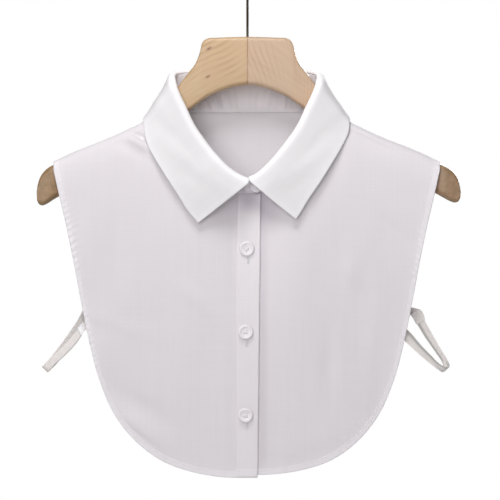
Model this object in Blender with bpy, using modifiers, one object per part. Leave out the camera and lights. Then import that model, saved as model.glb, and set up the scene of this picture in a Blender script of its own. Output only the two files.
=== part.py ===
"""A detachable shirt collar with its bib, hung on a wooden hanger.

Sizes are in millimetres and become metres where an object is made. +X is the
wearer's left, +Y the wearer's back, +Z up. The origin is the inner top of the
hook, where a rail carries it.
"""

import math

import bmesh
import bpy
import numpy as np
from mathutils import Vector

for old_object in list(bpy.data.objects):
    bpy.data.objects.remove(old_object, do_unlink=True)

MM = 0.001

CLOTH_WALL = 1.1
SEAM_GAP = 0.3
LAYER = CLOTH_WALL + SEAM_GAP
LAP_SPACING = LAYER + 0.3

WOOD_THICKNESS = 13.0
WOOD_EDGE_RADIUS = 4.0
ARM_EDGE_RADIUS = 6.2
ARM_START_X = 60.0
ARM_LENGTH = 130.0
ARM_FORWARD = 14.0
ARM_CURVE = 1.3

CLOTH_CENTRE_X = -0.7
ARM_TO_CLOTH = 0.5
SHOULDER_ROLL = WOOD_THICKNESS / 2 + ARM_TO_CLOTH + CLOTH_WALL / 2
COLLAR_ROLL = 1.4
SLOPE_STEP = 0.004


def smooth_step(low, high, value):
    """0 below low, 1 above high, and smooth between them."""
    share = min(max((value - low) / (high - low), 0.0), 1.0)
    return share * share * (3.0 - 2.0 * share)


def curve_through(rows):
    """A smooth curve through rows of numbers, read by its share of length, 0 to 1."""
    points = np.array(rows, float)
    spans = np.linalg.norm(np.diff(points, axis=0), axis=1)
    knots = np.concatenate([[0.0], np.cumsum(spans)]) / spans.sum()
    slopes = np.gradient(points, knots, axis=0)

    def at(share):
        share = min(max(share, 0.0), 1.0)
        i = min(int(np.searchsorted(knots, share, side="right")) - 1, len(knots) - 2)
        width = knots[i + 1] - knots[i]
        t = (share - knots[i]) / width
        return (
            (1 + 2 * t) * (1 - t) ** 2 * points[i]
            + t * (1 - t) ** 2 * width * slopes[i]
            + t * t * (3 - 2 * t) * points[i + 1]
            + t * t * (t - 1) * width * slopes[i + 1]
        )

    return at


def arm_y(x):
    """How far forward of the hook the contoured arm's middle lies at x."""
    return -ARM_FORWARD * (max(abs(x) - ARM_START_X, 0.0) / ARM_LENGTH) ** ARM_CURVE


def new_collection(name):
    collection = bpy.data.collections.new(name)
    bpy.context.scene.collection.children.link(collection)
    return collection


PARTS = new_collection("shirt_collar_on_hanger")
CUTTERS = new_collection("cutters")


def new_material(name, colour, roughness, metallic=0.0):
    material = bpy.data.materials.new(name)
    material.use_nodes = True
    shader = material.node_tree.nodes["Principled BSDF"]
    shader.inputs["Base Color"].default_value = (*colour, 1.0)
    shader.inputs["Roughness"].default_value = roughness
    shader.inputs["Metallic"].default_value = metallic
    material.diffuse_color = (*colour, 1.0)
    return material


def place(name, mesh, material, parent=None):
    item = bpy.data.objects.new(name, mesh)
    PARTS.objects.link(item)
    item.data.materials.append(material)
    item.parent = parent
    return item


def round_cutter(name, radius, depth, location, sides):
    """A cylinder along Z that only cuts: it is neither drawn nor rendered."""
    bpy.ops.mesh.primitive_cylinder_add(
        vertices=sides,
        radius=radius * MM,
        depth=depth * MM,
        location=[length * MM for length in location],
    )
    cutter = bpy.context.object
    cutter.name = name
    for owner in list(cutter.users_collection):
        owner.objects.unlink(cutter)
    CUTTERS.objects.link(cutter)
    cutter.hide_render = True
    cutter.display_type = "WIRE"
    return cutter


def cut_away(item, cutter):
    cut = item.modifiers.new(cutter.name, "BOOLEAN")
    cut.operation = "DIFFERENCE"
    cut.solver = "EXACT"
    cut.object = cutter


def shade(item, degrees):
    """Smooth shading that keeps the edges sharper than the angle."""
    for face in item.data.polygons:
        face.use_smooth = True
    item.data.set_sharp_from_angle(angle=math.radians(degrees))


def cloth_sheet(name, surface, steps_u, steps_v, material, wall=CLOTH_WALL):
    """A wall of cloth about surface(u, v), which gives millimetres for u and v from 0 to 1."""
    work = bmesh.new()
    bmesh.ops.create_grid(work, x_segments=steps_u, y_segments=steps_v, size=0.5)
    for corner in work.verts:
        corner.co = Vector(surface(corner.co.x + 0.5, corner.co.y + 0.5)) * MM
    mesh = bpy.data.meshes.new(name)
    work.to_mesh(mesh)
    work.free()
    item = place(name, mesh, material, parent=garment)
    solidify = item.modifiers.new("wall", "SOLIDIFY")
    solidify.thickness = wall * MM
    solidify.offset = 0.0
    solidify.use_even_offset = True
    shade(item, 50)
    return item


def four_sided(neck, outer, shoulder, centre):
    """A surface between four curves: u runs along neck and outer, v along shoulder and centre."""
    start_neck, end_neck = neck(0.0), neck(1.0)
    start_outer, end_outer = outer(0.0), outer(1.0)

    def at(u, v):
        corners = (
            (1 - u) * (1 - v) * start_neck
            + (1 - u) * v * start_outer
            + u * (1 - v) * end_neck
            + u * v * end_outer
        )
        along = (1 - v) * neck(u) + v * outer(u)
        across = (1 - u) * shoulder(v) + u * centre(v)
        return along + across - corners

    return at


# The hanger is two contoured wooden halves, glued on the centre line. Each is a
# loft of rounded sections, from the joint, down the neck and out along the arm.
WOOD_COLUMNS = ("top_x", "top_z", "bottom_x", "bottom_z")
WOOD_SECTIONS = (
    (0.15, -57.9, 0.15, -101.0),
    (12.6, -58.2, 11.5, -102.6),
    (27.0, -58.8, 26.0, -107.4),
    (36.0, -59.6, 37.0, -112.6),
    (39.8, -61.8, 41.0, -115.4),
    (43.2, -73.0, 45.0, -118.4),
    (46.9, -82.2, 49.5, -121.6),
    (52.4, -89.5, 55.0, -126.0),
    (58.9, -97.8, 60.0, -129.6),
    (62.6, -103.2, 64.0, -132.4),
    (67.0, -109.4, 68.5, -135.6),
    (75.6, -118.8, 76.0, -140.6),
    (84.0, -128.8, 84.0, -145.8),
    (93.0, -137.0, 92.3, -151.6),
    (104.0, -142.0, 104.0, -159.0),
    (123.8, -151.0, 124.0, -172.0),
    (145.4, -159.6, 145.0, -186.0),
    (161.6, -166.7, 158.0, -193.4),
    (171.6, -172.6, 168.0, -198.6),
    (177.4, -174.8, 174.5, -202.2),
    (183.2, -178.7, 180.3, -205.4),
    (187.4, -183.7, 185.2, -207.2),
    (190.0, -190.9, 188.8, -206.2),
    (190.9, -197.4, 190.4, -203.2),
)
CORNER_STEPS = 3
EDGE_BLEND_LENGTH = 20.0
TIP_THINNING = 0.35
TIP_SECTIONS = 4
RIGHT_TIP_TRIM = 2.2
RIGHT_TIP_DEEPER = 2.6


def wood_section(top_x, top_z, bottom_x, bottom_z, end_share):
    """A rounded rectangle between the top and bottom points, thinner towards the arm's end."""
    top = Vector((top_x, 0.0, top_z))
    bottom = Vector((bottom_x, 0.0, bottom_z))
    height = (top - bottom).length
    half_height = height / 2
    half_thickness = WOOD_THICKNESS / 2 * (1.0 - TIP_THINNING * end_share)
    on_arm = smooth_step(ARM_START_X, ARM_START_X + EDGE_BLEND_LENGTH, top_x)
    radius = WOOD_EDGE_RADIUS + (ARM_EDGE_RADIUS - WOOD_EDGE_RADIUS) * on_arm
    radius = min(radius, half_height * 0.8, half_thickness - 0.3)
    points = []
    for corner in range(4):
        side_y = half_thickness - radius if corner in (0, 3) else radius - half_thickness
        side_h = half_height - radius if corner in (0, 1) else radius - half_height
        for step in range(CORNER_STEPS + 1):
            turn = math.radians(90 * corner + 90 * step / CORNER_STEPS)
            y = side_y + radius * math.cos(turn)
            h = side_h + radius * math.sin(turn)
            points.append((top + bottom) / 2 + (top - bottom) / height * h + Vector((0, y, 0)))
    return [point + Vector((0, arm_y(point.x), 0)) for point in points]


def right_tip(point, is_low):
    """The wearer's right arm is a little shorter and deeper at its end."""
    trimmed = point.copy()
    trimmed.x -= RIGHT_TIP_TRIM * smooth_step(170.0, 190.0, point.x)
    if is_low:
        trimmed.z -= RIGHT_TIP_DEEPER * smooth_step(150.0, 172.0, point.x)
    return trimmed


def hanger_half(name, side, material):
    work = bmesh.new()
    rings = []
    last = len(WOOD_SECTIONS) - 1
    for i, row in enumerate(WOOD_SECTIONS):
        end_share = smooth_step(last - TIP_SECTIONS, last, i)
        spot = dict(zip(WOOD_COLUMNS, row))
        ring = wood_section(**spot, end_share=end_share)
        if side < 0:
            middle_z = (spot["top_z"] + spot["bottom_z"]) / 2
            ring = [right_tip(point, point.z < middle_z) for point in ring]
        rings.append([work.verts.new(Vector((side * p.x, p.y, p.z)) * MM) for p in ring])
    for ring, following in zip(rings, rings[1:]):
        for k in range(len(ring)):
            after = (k + 1) % len(ring)
            work.faces.new((ring[k], ring[after], following[after], following[k]))
    work.faces.new(rings[0])
    work.faces.new(rings[-1])
    bmesh.ops.recalc_face_normals(work, faces=work.faces)
    mesh = bpy.data.meshes.new(name)
    work.to_mesh(mesh)
    work.free()
    item = place(name, mesh, material)
    cut_away(item, hook_hole)
    shade(item, 40)
    return item


# The hook is a bent wire in a plane across the hanger, let into a hole between
# the halves. Its shank stands under the seat, which is the origin.
WIRE_RADIUS = 1.1
HOOK_INNER_RADIUS = 20.0
HOOK_ARC_FROM = 222.0
HOOK_ARC_TO = -32.0
HOOK_HOLE_RADIUS = WIRE_RADIUS + SEAM_GAP
HOOK_HOLE_SIDES = 16
WOOD_TOP_Z = -57.9
HOLE_DEPTH = 18.0
HOLE_SPARE = 1.0
SHANK_STRAIGHT = 7.0
HOOK_NECK_SHARES = (0.3, 0.6, 0.85)
HOOK_NECK_CURVE = 1.4
HOOK_ARC_STEPS = 26


def hook_route():
    """The wire's middle line: the shank, the bend out of it and the arc over the seat."""
    centre_radius = HOOK_INNER_RADIUS + WIRE_RADIUS
    centre_z = -HOOK_INNER_RADIUS
    shank_foot = WOOD_TOP_Z - HOLE_DEPTH + HOLE_SPARE
    shank_top = WOOD_TOP_Z + SHANK_STRAIGHT
    route = [(0.0, shank_foot), (0.0, WOOD_TOP_Z), (0.0, shank_top)]
    first = math.radians(HOOK_ARC_FROM)
    joint_y = centre_radius * math.cos(first)
    joint_z = centre_z + centre_radius * math.sin(first)
    for share in HOOK_NECK_SHARES:
        route.append((joint_y * share**HOOK_NECK_CURVE, shank_top + (joint_z - shank_top) * share))
    for step in range(HOOK_ARC_STEPS + 1):
        turn = math.radians(HOOK_ARC_FROM + (HOOK_ARC_TO - HOOK_ARC_FROM) * step / HOOK_ARC_STEPS)
        route.append((centre_radius * math.cos(turn), centre_z + centre_radius * math.sin(turn)))
    return route


def wire_hook(name, material):
    curve = bpy.data.curves.new(name, "CURVE")
    curve.dimensions = "3D"
    curve.bevel_depth = WIRE_RADIUS * MM
    curve.bevel_resolution = 2
    curve.use_fill_caps = True
    route = hook_route()
    line = curve.splines.new("POLY")
    line.points.add(len(route) - 1)
    for point, (y, z) in zip(line.points, route):
        point.co = (0.0, y * MM, z * MM, 1.0)
    item = bpy.data.objects.new(name, curve)
    PARTS.objects.link(item)
    curve.materials.append(material)
    return item


# Where the cloth turns over the arms: the middle of the wall on the shoulder
# seam, from the neck to the arm's end, a row for each change of slope.
SHOULDER_LINE = (
    (76.2, -116.1),
    (84.0, -125.6),
    (93.0, -134.6),
    (103.0, -139.8),
    (123.8, -149.5),
    (145.4, -158.1),
    (161.6, -165.2),
    (172.6, -171.0),
)
shoulder_line = curve_through(SHOULDER_LINE)

# The bib's side and hem, from the roll at the shoulder's end to the centre. Front
# and back depths are the middles of the two hanging walls.
SIDE_COLUMNS = ("x", "z", "front_y", "back_y")
SIDE_AND_HEM = (
    (172.0, -178.4, -19.0, -4.2),
    (167.6, -201.1, -19.4, -3.8),
    (161.4, -227.0, -19.6, -3.4),
    (154.9, -258.7, -19.6, -3.0),
    (148.2, -294.7, -19.4, -2.4),
    (140.6, -331.6, -19.2, -1.4),
    (131.2, -366.7, -19.2, 0.0),
    (117.0, -398.4, -19.4, 2.0),
    (99.0, -420.5, -20.0, 4.0),
    (74.8, -438.3, -20.8, 6.0),
    (48.9, -447.7, -21.4, 8.0),
    (25.0, -452.0, -21.8, 9.5),
    (0.0, -453.0, -22.0, 10.0),
)

# The collar from centre back to centre front, a row for each station round one
# side: the fold at the top, the neck seam below it, the leaf's outer edge, and
# how far the leaf bows out between the two.
COLLAR_COLUMNS = ("fold", "seam", "edge", "bulge")
COLLAR_STATIONS = (
    ((0.0, 24.0, -86.8), (0.0, 20.0, -124.6), (0.0, 28.0, -134.0), 1.5),
    ((22.5, 23.4, -86.8), (24.5, 19.4, -124.6), (26.0, 27.4, -134.0), 1.5),
    ((43.0, 20.8, -86.9), (47.0, 17.0, -124.4), (54.0, 24.6, -134.4), 2.0),
    ((56.5, 15.4, -87.6), (63.0, 12.6, -123.9), (76.0, 18.4, -135.2), 2.5),
    ((63.4, 8.4, -89.8), (74.8, 7.2, -122.2), (87.0, 11.0, -136.4), 2.5),
    ((64.0, 2.0, -93.2), (75.6, 3.2, -116.6), (91.8, 5.4, -133.4), 2.5),
    ((63.2, -4.6, -96.6), (75.6, -4.0, -116.1), (92.6, -3.0, -131.0), 2.5),
    ((61.8, -9.0, -101.8), (75.6, -8.4, -121.0), (92.4, -10.6, -135.4), 2.5),
    ((58.7, -10.6, -110.0), (74.4, -10.8, -128.0), (91.2, -13.4, -144.0), 2.5),
    ((52.6, -12.0, -122.8), (70.6, -12.6, -136.5), (86.3, -16.8, -154.8), 2.5),
    ((46.3, -13.5, -136.3), (64.8, -14.6, -147.0), (80.2, -19.6, -165.4), 2.5),
    ((37.4, -15.2, -149.8), (55.8, -16.8, -160.0), (72.4, -22.2, -178.2), 2.5),
    ((27.0, -17.0, -163.3), (43.0, -19.2, -174.6), (63.3, -24.8, -192.3), 3.0),
    ((15.3, -18.8, -175.9), (26.6, -21.6, -188.6), (54.0, -26.8, -206.0), 3.5),
    ((7.2, -20.0, -182.4), (12.6, -23.0, -195.6), (47.6, -27.8, -216.6), 4.0),
    ((1.4, -20.6, -184.9), (0.0, -23.6, -198.0), (44.0, -28.4, -222.0), 4.5),
)
FRONT_NECK_FIRST_ROW = 8
BACK_NECK_ROWS = 4

# Past the centre the stand runs on as a rounded, lapping end: its top and its neck seam.
STAND_LAP = (
    ((-5.0, -20.4, -189.4), (-5.0, -23.4, -197.2)),
    ((-9.6, -21.0, -190.6), (-9.6, -23.3, -196.9)),
    ((-12.6, -22.0, -192.8), (-12.4, -22.9, -195.4)),
)
FRONT_LAP = 12.1
FRONT_LAP_AT_HEM = 9.3
UNDER_LAP = 9.5
UNDER_HEM_LIFT = 2.6
RIGHT_TIP_SHIFT = (-0.6, 0.6, -3.4)
RIGHT_EDGE_OUT = 3.2
RIGHT_FOLD_OUT = 1.4
NECK_BUTTON_LIFT = 3.0
NECK_MIDDLE_Y = 2.0
LAP_BLEND_FROM = 12.0
LAP_BLEND_TO = 45.0


def flat_rows(table):
    """The table's rows with their points written out as plain numbers."""
    return [[number for cell in row for number in np.ravel(cell)] for row in table]


collar_curve = curve_through(flat_rows(COLLAR_STATIONS))


def on_side(side, point):
    """The point itself for the wearer's left side, or its mirror image for the right."""
    return Vector((side * point[0], point[1], point[2]))


def lap_shift(side, x):
    """Near the centre the wearer's right side lies forward and the left side back."""
    near = 1.0 - smooth_step(LAP_BLEND_FROM, LAP_BLEND_TO, abs(x))
    return side * LAP_SPACING / 2 * near


def collar_frame(side, share):
    """The fold, seam and edge points at a share of the way from centre back to centre front."""
    row = collar_curve(share)
    fold, seam, edge = Vector(row[0:3]), Vector(row[3:6]), Vector(row[6:9])
    bulge = row[9]
    near_tip = smooth_step(0.8, 1.0, share)
    if side < 0:
        edge.x += RIGHT_EDGE_OUT * (smooth_step(0.5, 0.62, share) - smooth_step(0.9, 1.0, share))
        edge += Vector(RIGHT_TIP_SHIFT) * near_tip
        fold.x += RIGHT_FOLD_OUT * (smooth_step(0.1, 0.2, share) - smooth_step(0.85, 0.97, share))
    else:
        bulge += NECK_BUTTON_LIFT * near_tip
    fold.y += lap_shift(side, fold.x)
    seam.y += lap_shift(side, seam.x)
    return fold, seam, edge, bulge


def roll_frame(share, fold, seam, edge):
    """At the fold: the direction away from both layers, and the one from stand to leaf."""
    before = Vector(collar_curve(share - SLOPE_STEP)[0:3])
    after = Vector(collar_curve(share + SLOPE_STEP)[0:3])
    along = (after - before).normalized()
    up = -((seam - fold).normalized() + (edge - fold).normalized()).normalized()
    outward = along.cross(up).normalized()
    if outward.dot(Vector((fold.x, fold.y - NECK_MIDDLE_Y, 0.0))) < 0:
        outward = -outward
    return up, outward


LEAF_FOOT = 0.6
LAP_STEP = 0.6
STAND_READINGS = 22
STAND_STEPS = 60
SEAM_SETBACK = 0.8


def stand_ends(side, share):
    """The middle of the stand's wall at its top edge and just above the neck seam."""
    fold, seam, edge, _ = collar_frame(side, share)
    up, outward = roll_frame(share, fold, seam, edge)
    top = fold - up * (COLLAR_ROLL + LEAF_FOOT + 2 * SEAM_GAP) - outward * COLLAR_ROLL
    bottom = seam + (top - seam).normalized() * SEAM_SETBACK
    return top, bottom


def stand_rows(side):
    """Rows of top and bottom points from centre back to the end of the lap."""
    rows = []
    for reading in range(STAND_READINGS + 1):
        top, bottom = stand_ends(side, reading / STAND_READINGS)
        rows.append((top, bottom))
    forward = Vector((0.0, side * (LAP_SPACING / 2 + LAP_STEP), 0.0))
    for top, bottom in STAND_LAP:
        rows.append((Vector(top) + forward, Vector(bottom) + forward))
    return [(*on_side(side, top), *on_side(side, bottom)) for top, bottom in rows]


def stand_surface():
    round_neck = curve_through(stand_rows(-1)[::-1] + stand_rows(1)[1:])

    def at(u, v):
        row = round_neck(u)
        return row[0:3] * (1 - v) + row[3:6] * v

    return at


LEAF_ROLL_SHARE = 0.3
LEAF_OVER_LAP = 1.7
LEAF_DROP = 3.4
LEAF_STEPS = 56


def leaf_point(side, share, v):
    """The leaf from the stand's top, over the roll and down to its outer edge."""
    fold, seam, edge, bulge = collar_frame(side, share)
    up, outward = roll_frame(share, fold, seam, edge)
    if side < 0:
        fold += outward * LEAF_OVER_LAP * smooth_step(0.78, 0.86, share)
        fold -= up * LEAF_DROP * smooth_step(0.86, 1.0, share)
    centre = fold - up * COLLAR_ROLL
    if v <= LEAF_ROLL_SHARE:
        turn = math.pi * v / LEAF_ROLL_SHARE
        foot = LEAF_FOOT * max(0.0, 1.0 - 4.0 * v / LEAF_ROLL_SHARE)
        rise = COLLAR_ROLL * math.sin(turn) - foot
        return centre - outward * COLLAR_ROLL * math.cos(turn) + up * rise
    fall = (v - LEAF_ROLL_SHARE) / (1 - LEAF_ROLL_SHARE)
    start = centre + outward * COLLAR_ROLL
    bow = bulge * 4 * fall * (1 - fall) * (1.3 - 0.6 * fall)
    return start.lerp(edge, fall) + outward * bow


def leaf_surface(u, v):
    side = 1 if u >= 0.5 else -1
    return on_side(side, leaf_point(side, abs(2 * u - 1), v))


HEM_WAVE = 1.0
HEM_WAVES = 3.75
PANEL_ROLL_STEPS = 4
PANEL_STEPS = 34
FRONT_STEPS_ACROSS = 13
BACK_STEPS_ACROSS = 11
PANEL_ROLL_SHARE = PANEL_ROLL_STEPS / PANEL_STEPS
FRONT_MIDDLE_Y = -22.0
BACK_MIDDLE = (0.0, 14.0, -280.0)
BACK_NARROWING = 0.99
BACK_SHORTER = 2.0
BACK_NECK_DROP = 0.4
HEM_LIFT_REACH = 110.0


def panel_surface(side, face, neck_rows, side_rows, centre_rows):
    """A bib panel: the roll over the arm first, then the hanging cloth down to the hem."""
    neck = curve_through(neck_rows)
    outer = curve_through(side_rows)
    centre = curve_through(centre_rows)

    def rolled(v, turn):
        x, z = shoulder_line(v)
        y = arm_y(x) + face * SHOULDER_ROLL * math.sin(turn)
        return np.array((x, y, z - SHOULDER_ROLL * (1 - math.cos(turn))))

    hanging = four_sided(neck, outer, lambda v: rolled(v, math.pi / 2), centre)
    seam_turn = math.asin(SEAM_GAP / 2 / SHOULDER_ROLL)

    def at(u, v):
        if u <= PANEL_ROLL_SHARE:
            point = rolled(v, seam_turn + (math.pi / 2 - seam_turn) * u / PANEL_ROLL_SHARE)
        else:
            fall = (u - PANEL_ROLL_SHARE) / (1 - PANEL_ROLL_SHARE)
            point = hanging(fall, v)
            wave = math.sin(math.pi * fall) * math.sin(2 * math.pi * HEM_WAVES * fall)
            point[1] += HEM_WAVE * v**3 * wave
        if face < 0:
            point[1] += lap_shift(side, point[0])
        return on_side(side, point)

    return at


def shoulder_roll_end(share, face):
    """Where the cloth leaves the arm and starts to hang, on the front (-1) or back (1)."""
    x, z = shoulder_line(share)
    return (x, arm_y(x) + face * SHOULDER_ROLL, z - SHOULDER_ROLL)


def front_panel_surface(side, lap, hem_lap, hem_lift):
    """A front that laps past the centre. Its hem is lifted by hem_lift at the centre."""
    neck_rows = [shoulder_roll_end(0.0, -1)]
    for row in COLLAR_STATIONS[FRONT_NECK_FIRST_ROW:]:
        station = dict(zip(COLLAR_COLUMNS, row))
        fold, seam = Vector(station["fold"]), Vector(station["seam"])
        neck_rows.append(tuple(seam + (seam - fold).normalized() * SEAM_GAP))
    neck_rows.append((-lap, seam.y, seam.z - SEAM_GAP))
    side_rows = []
    for row in SIDE_AND_HEM:
        spot = dict(zip(SIDE_COLUMNS, row))
        lift = hem_lift * (1 - smooth_step(0.0, HEM_LIFT_REACH, spot["x"]))
        side_rows.append((spot["x"], spot["front_y"], spot["z"] + lift))
    side_rows[0] = shoulder_roll_end(1.0, -1)
    side_rows.append((-hem_lap, side_rows[-1][1], side_rows[-1][2]))
    neck_end, hem_end = neck_rows[-1], side_rows[-1]
    middle = (-(lap + hem_lap) / 2, FRONT_MIDDLE_Y, (neck_end[2] + hem_end[2]) / 2)
    return panel_surface(side, -1, neck_rows, side_rows, (neck_end, middle, hem_end))


def back_panel_surface():
    """Half the back, from the centre out. It is cut a little narrower than the fronts."""
    neck_rows = [shoulder_roll_end(0.0, 1)]
    for row in reversed(COLLAR_STATIONS[:BACK_NECK_ROWS]):
        x, y, z = dict(zip(COLLAR_COLUMNS, row))["seam"]
        neck_rows.append((x, y, z - BACK_NECK_DROP))
    side_rows = []
    for row in SIDE_AND_HEM:
        spot = dict(zip(SIDE_COLUMNS, row))
        side_rows.append((spot["x"] * BACK_NARROWING, spot["back_y"], spot["z"] + BACK_SHORTER))
    side_rows[0] = shoulder_roll_end(1.0, 1)
    return panel_surface(1, 1, neck_rows, side_rows, (neck_rows[-1], BACK_MIDDLE, side_rows[-1]))


# The placket lies on the right front, along its lapping edge.
PLACKET_TOP_WIDTH = 20.2
PLACKET_HEM_WIDTH = 19.0
PLACKET_PROUD = 0.3
PLACKET_TOP_Z = -199.2
PLACKET_BOTTOM_Z = -452.6
PLACKET_STEPS = 30


DEPTH_TRIES = 30
DEPTH_STEP = 0.002
DEPTH_LEAST_U = 0.2
DEPTH_LEAST_V = 0.004


def depth_on(surface, x, z):
    """The depth of a panel's middle surface at x and z, found by Newton's method."""
    u, v = 0.7, 0.6
    for _ in range(DEPTH_TRIES):
        here = surface(u, v)
        by_u = (here - surface(u - DEPTH_STEP, v)) / DEPTH_STEP
        by_v = (here - surface(u, v - DEPTH_STEP)) / DEPTH_STEP
        slopes = np.array(((by_u.x, by_v.x), (by_u.z, by_v.z)))
        move_u, move_v = np.linalg.solve(slopes, (x - here.x, z - here.z))
        u = min(max(u + move_u, DEPTH_LEAST_U), 1.0)
        v = min(max(v + move_v, DEPTH_LEAST_V), 1.0)
    return surface(u, v).y


def placket_surface(u, v):
    z = PLACKET_TOP_Z + (PLACKET_BOTTOM_Z - PLACKET_TOP_Z) * u
    edge_x = FRONT_LAP + (FRONT_LAP_AT_HEM - FRONT_LAP) * u
    width = PLACKET_TOP_WIDTH + (PLACKET_HEM_WIDTH - PLACKET_TOP_WIDTH) * u
    x = edge_x + PLACKET_PROUD - width * (1 - v)
    return Vector((x, depth_on(front_right, min(x, edge_x), z) - LAYER, z))


# Four-hole shirt buttons, turned with a raised rim. The profile runs from the
# centre of the face, over the rim and round to the centre of the back.
BUTTON_RADIUS = 6.8
BUTTON_RISE = 0.34
NECK_BUTTON_RADIUS = 5.2
NECK_BUTTON_LEAN = -20.0
NECK_BUTTON_PLACE = (8.3, -24.6, -193.4)
BUTTON_PROFILE = (
    (0.0, 0.62),
    (0.56, 0.66),
    (0.70, 0.96),
    (0.82, 1.0),
    (0.95, 0.82),
    (1.0, 0.5),
    (0.9, 0.08),
    (0.0, 0.0),
)
BUTTON_STEPS = 24
BUTTON_HOLE_RADIUS = 0.95
BUTTON_HOLE_SPACING = 2.36
BUTTON_HOLE_SIDES = 8
BUTTON_PLACES = (
    ("button_1", 0.1, -248.6),
    ("button_2", -0.9, -322.9),
    ("button_3", -1.1, -397.2),
)


def turned_button(name, radius, back_middle, lean, material):
    """A button that looks forward, leant by some degrees, with the middle of its back given."""
    profile = bmesh.new()
    corners = [
        profile.verts.new((share * radius * MM, 0.0, rise * BUTTON_RISE * radius * MM))
        for share, rise in BUTTON_PROFILE
    ]
    for corner, following in zip(corners, corners[1:]):
        profile.edges.new((corner, following))
    mesh = bpy.data.meshes.new(name)
    profile.to_mesh(mesh)
    profile.free()
    item = place(name, mesh, material, parent=garment)
    turn = item.modifiers.new("turn", "SCREW")
    turn.axis = "Z"
    turn.steps = BUTTON_STEPS
    turn.render_steps = BUTTON_STEPS
    turn.use_merge_vertices = True
    turn.merge_threshold = 0.00001
    size = radius / BUTTON_RADIUS
    spacing = BUTTON_HOLE_SPACING / 2 * size
    for i, (hole_x, hole_y) in enumerate(((1, 1), (1, -1), (-1, -1), (-1, 1))):
        hole = round_cutter(
            f"{name}_hole_{i + 1}",
            BUTTON_HOLE_RADIUS * size,
            2 * radius,
            (hole_x * spacing, hole_y * spacing, 0.0),
            BUTTON_HOLE_SIDES,
        )
        hole.parent = item
        cut_away(item, hole)
    item.location = Vector(back_middle) * MM
    item.rotation_euler = (math.radians(90 + lean), 0.0, 0.0)
    shade(item, 35)
    return item


# The elastic straps. Each runs from the back's edge out to a hairpin turn and
# back to the front's edge. A row is a place along it: its upper and lower edge.
STRAP_WALL = 1.0
STRAP_STEPS = 30
LEFT_STRAP = (
    ((148.5, -3.5, -296.5), (141.5, -3.5, -301.5)),
    ((154.6, -4.2, -302.6), (147.4, -4.0, -306.4)),
    ((161.4, -3.0, -315.4), (154.2, -1.0, -318.6)),
    ((167.7, -2.6, -326.2), (160.5, 0.6, -329.0)),
    ((174.9, -3.4, -339.7), (168.6, -0.4, -342.6)),
    ((179.8, -4.4, -348.4), (174.2, -2.4, -351.6)),
    ((182.0, -6.2, -354.3), (176.8, -5.4, -358.4)),
    ((180.6, -8.2, -354.8), (175.8, -8.2, -359.2)),
    ((174.4, -9.8, -351.4), (171.0, -11.0, -357.2)),
    ((165.4, -11.6, -342.6), (161.2, -13.2, -349.4)),
    ((155.6, -13.4, -332.4), (152.0, -15.2, -341.6)),
    ((148.4, -15.2, -324.4), (146.0, -16.8, -335.0)),
    ((141.0, -17.3, -318.6), (139.6, -17.3, -329.6)),
)
RIGHT_STRAP = (
    ((145.0, -3.5, -299.0), (138.6, -3.5, -304.2)),
    ((150.4, -4.2, -312.2), (144.6, -4.0, -317.0)),
    ((157.6, -3.0, -325.0), (152.2, -1.0, -330.0)),
    ((167.4, -1.8, -338.4), (162.4, 1.2, -343.8)),
    ((178.6, -3.6, -350.4), (173.8, -1.6, -355.6)),
    ((183.2, -5.6, -354.6), (178.6, -4.4, -359.2)),
    ((182.6, -7.8, -354.2), (178.0, -7.6, -359.0)),
    ((177.4, -9.6, -348.4), (172.2, -10.6, -352.6)),
    ((168.2, -11.2, -340.0), (162.8, -12.8, -343.4)),
    ((158.4, -12.8, -330.4), (154.6, -15.6, -333.6)),
    ((152.4, -13.6, -323.6), (150.4, -17.0, -326.4)),
    ((146.6, -15.4, -315.6), (145.6, -17.2, -321.2)),
    ((140.0, -17.3, -309.4), (139.6, -17.3, -316.6)),
)


def seated_on(panel, corner, away):
    """The strap's corner moved to lie just behind (+1) or before (-1) the panel."""
    x, _, z = corner
    clear = CLOTH_WALL / 2 + SEAM_GAP + STRAP_WALL / 2
    return (x, depth_on(panel, x, z) + away * clear, z)


def strap_surface(rows, side):
    """The strap with its first end seated inside the back and its last inside the front."""
    first = [seated_on(back_half, corner, -1) for corner in rows[0]]
    last = [seated_on(front_left, corner, 1) for corner in rows[-1]]
    route = curve_through(flat_rows((first, *rows[1:-1], last)))

    def at(u, v):
        edges = route(u)
        return on_side(side, edges[0:3] * (1 - v) + edges[3:6] * v)

    return at


cloth_white = new_material("cloth", (0.84, 0.82, 0.85), 0.85)
elastic_white = new_material("elastic", (0.78, 0.76, 0.75), 0.8)
button_white = new_material("button", (0.9, 0.89, 0.9), 0.3)
wood_pale = new_material("wood", (0.76, 0.56, 0.36), 0.5)
hook_dark = new_material("hook", (0.09, 0.08, 0.06), 0.4, 1.0)

garment = bpy.data.objects.new("garment", None)
garment.location = (CLOTH_CENTRE_X * MM, 0.0, 0.0)
PARTS.objects.link(garment)

hole_place = (0.0, 0.0, WOOD_TOP_Z)
hook_hole = round_cutter("hook_hole", HOOK_HOLE_RADIUS, 2 * HOLE_DEPTH, hole_place, HOOK_HOLE_SIDES)
hanger_half("hanger_right", -1, wood_pale)
hanger_half("hanger_left", 1, wood_pale)
wire_hook("hook", hook_dark)

front_right = front_panel_surface(-1, FRONT_LAP, FRONT_LAP_AT_HEM, 0.0)
front_left = front_panel_surface(1, UNDER_LAP, UNDER_LAP, UNDER_HEM_LIFT)
back_half = back_panel_surface()

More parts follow.
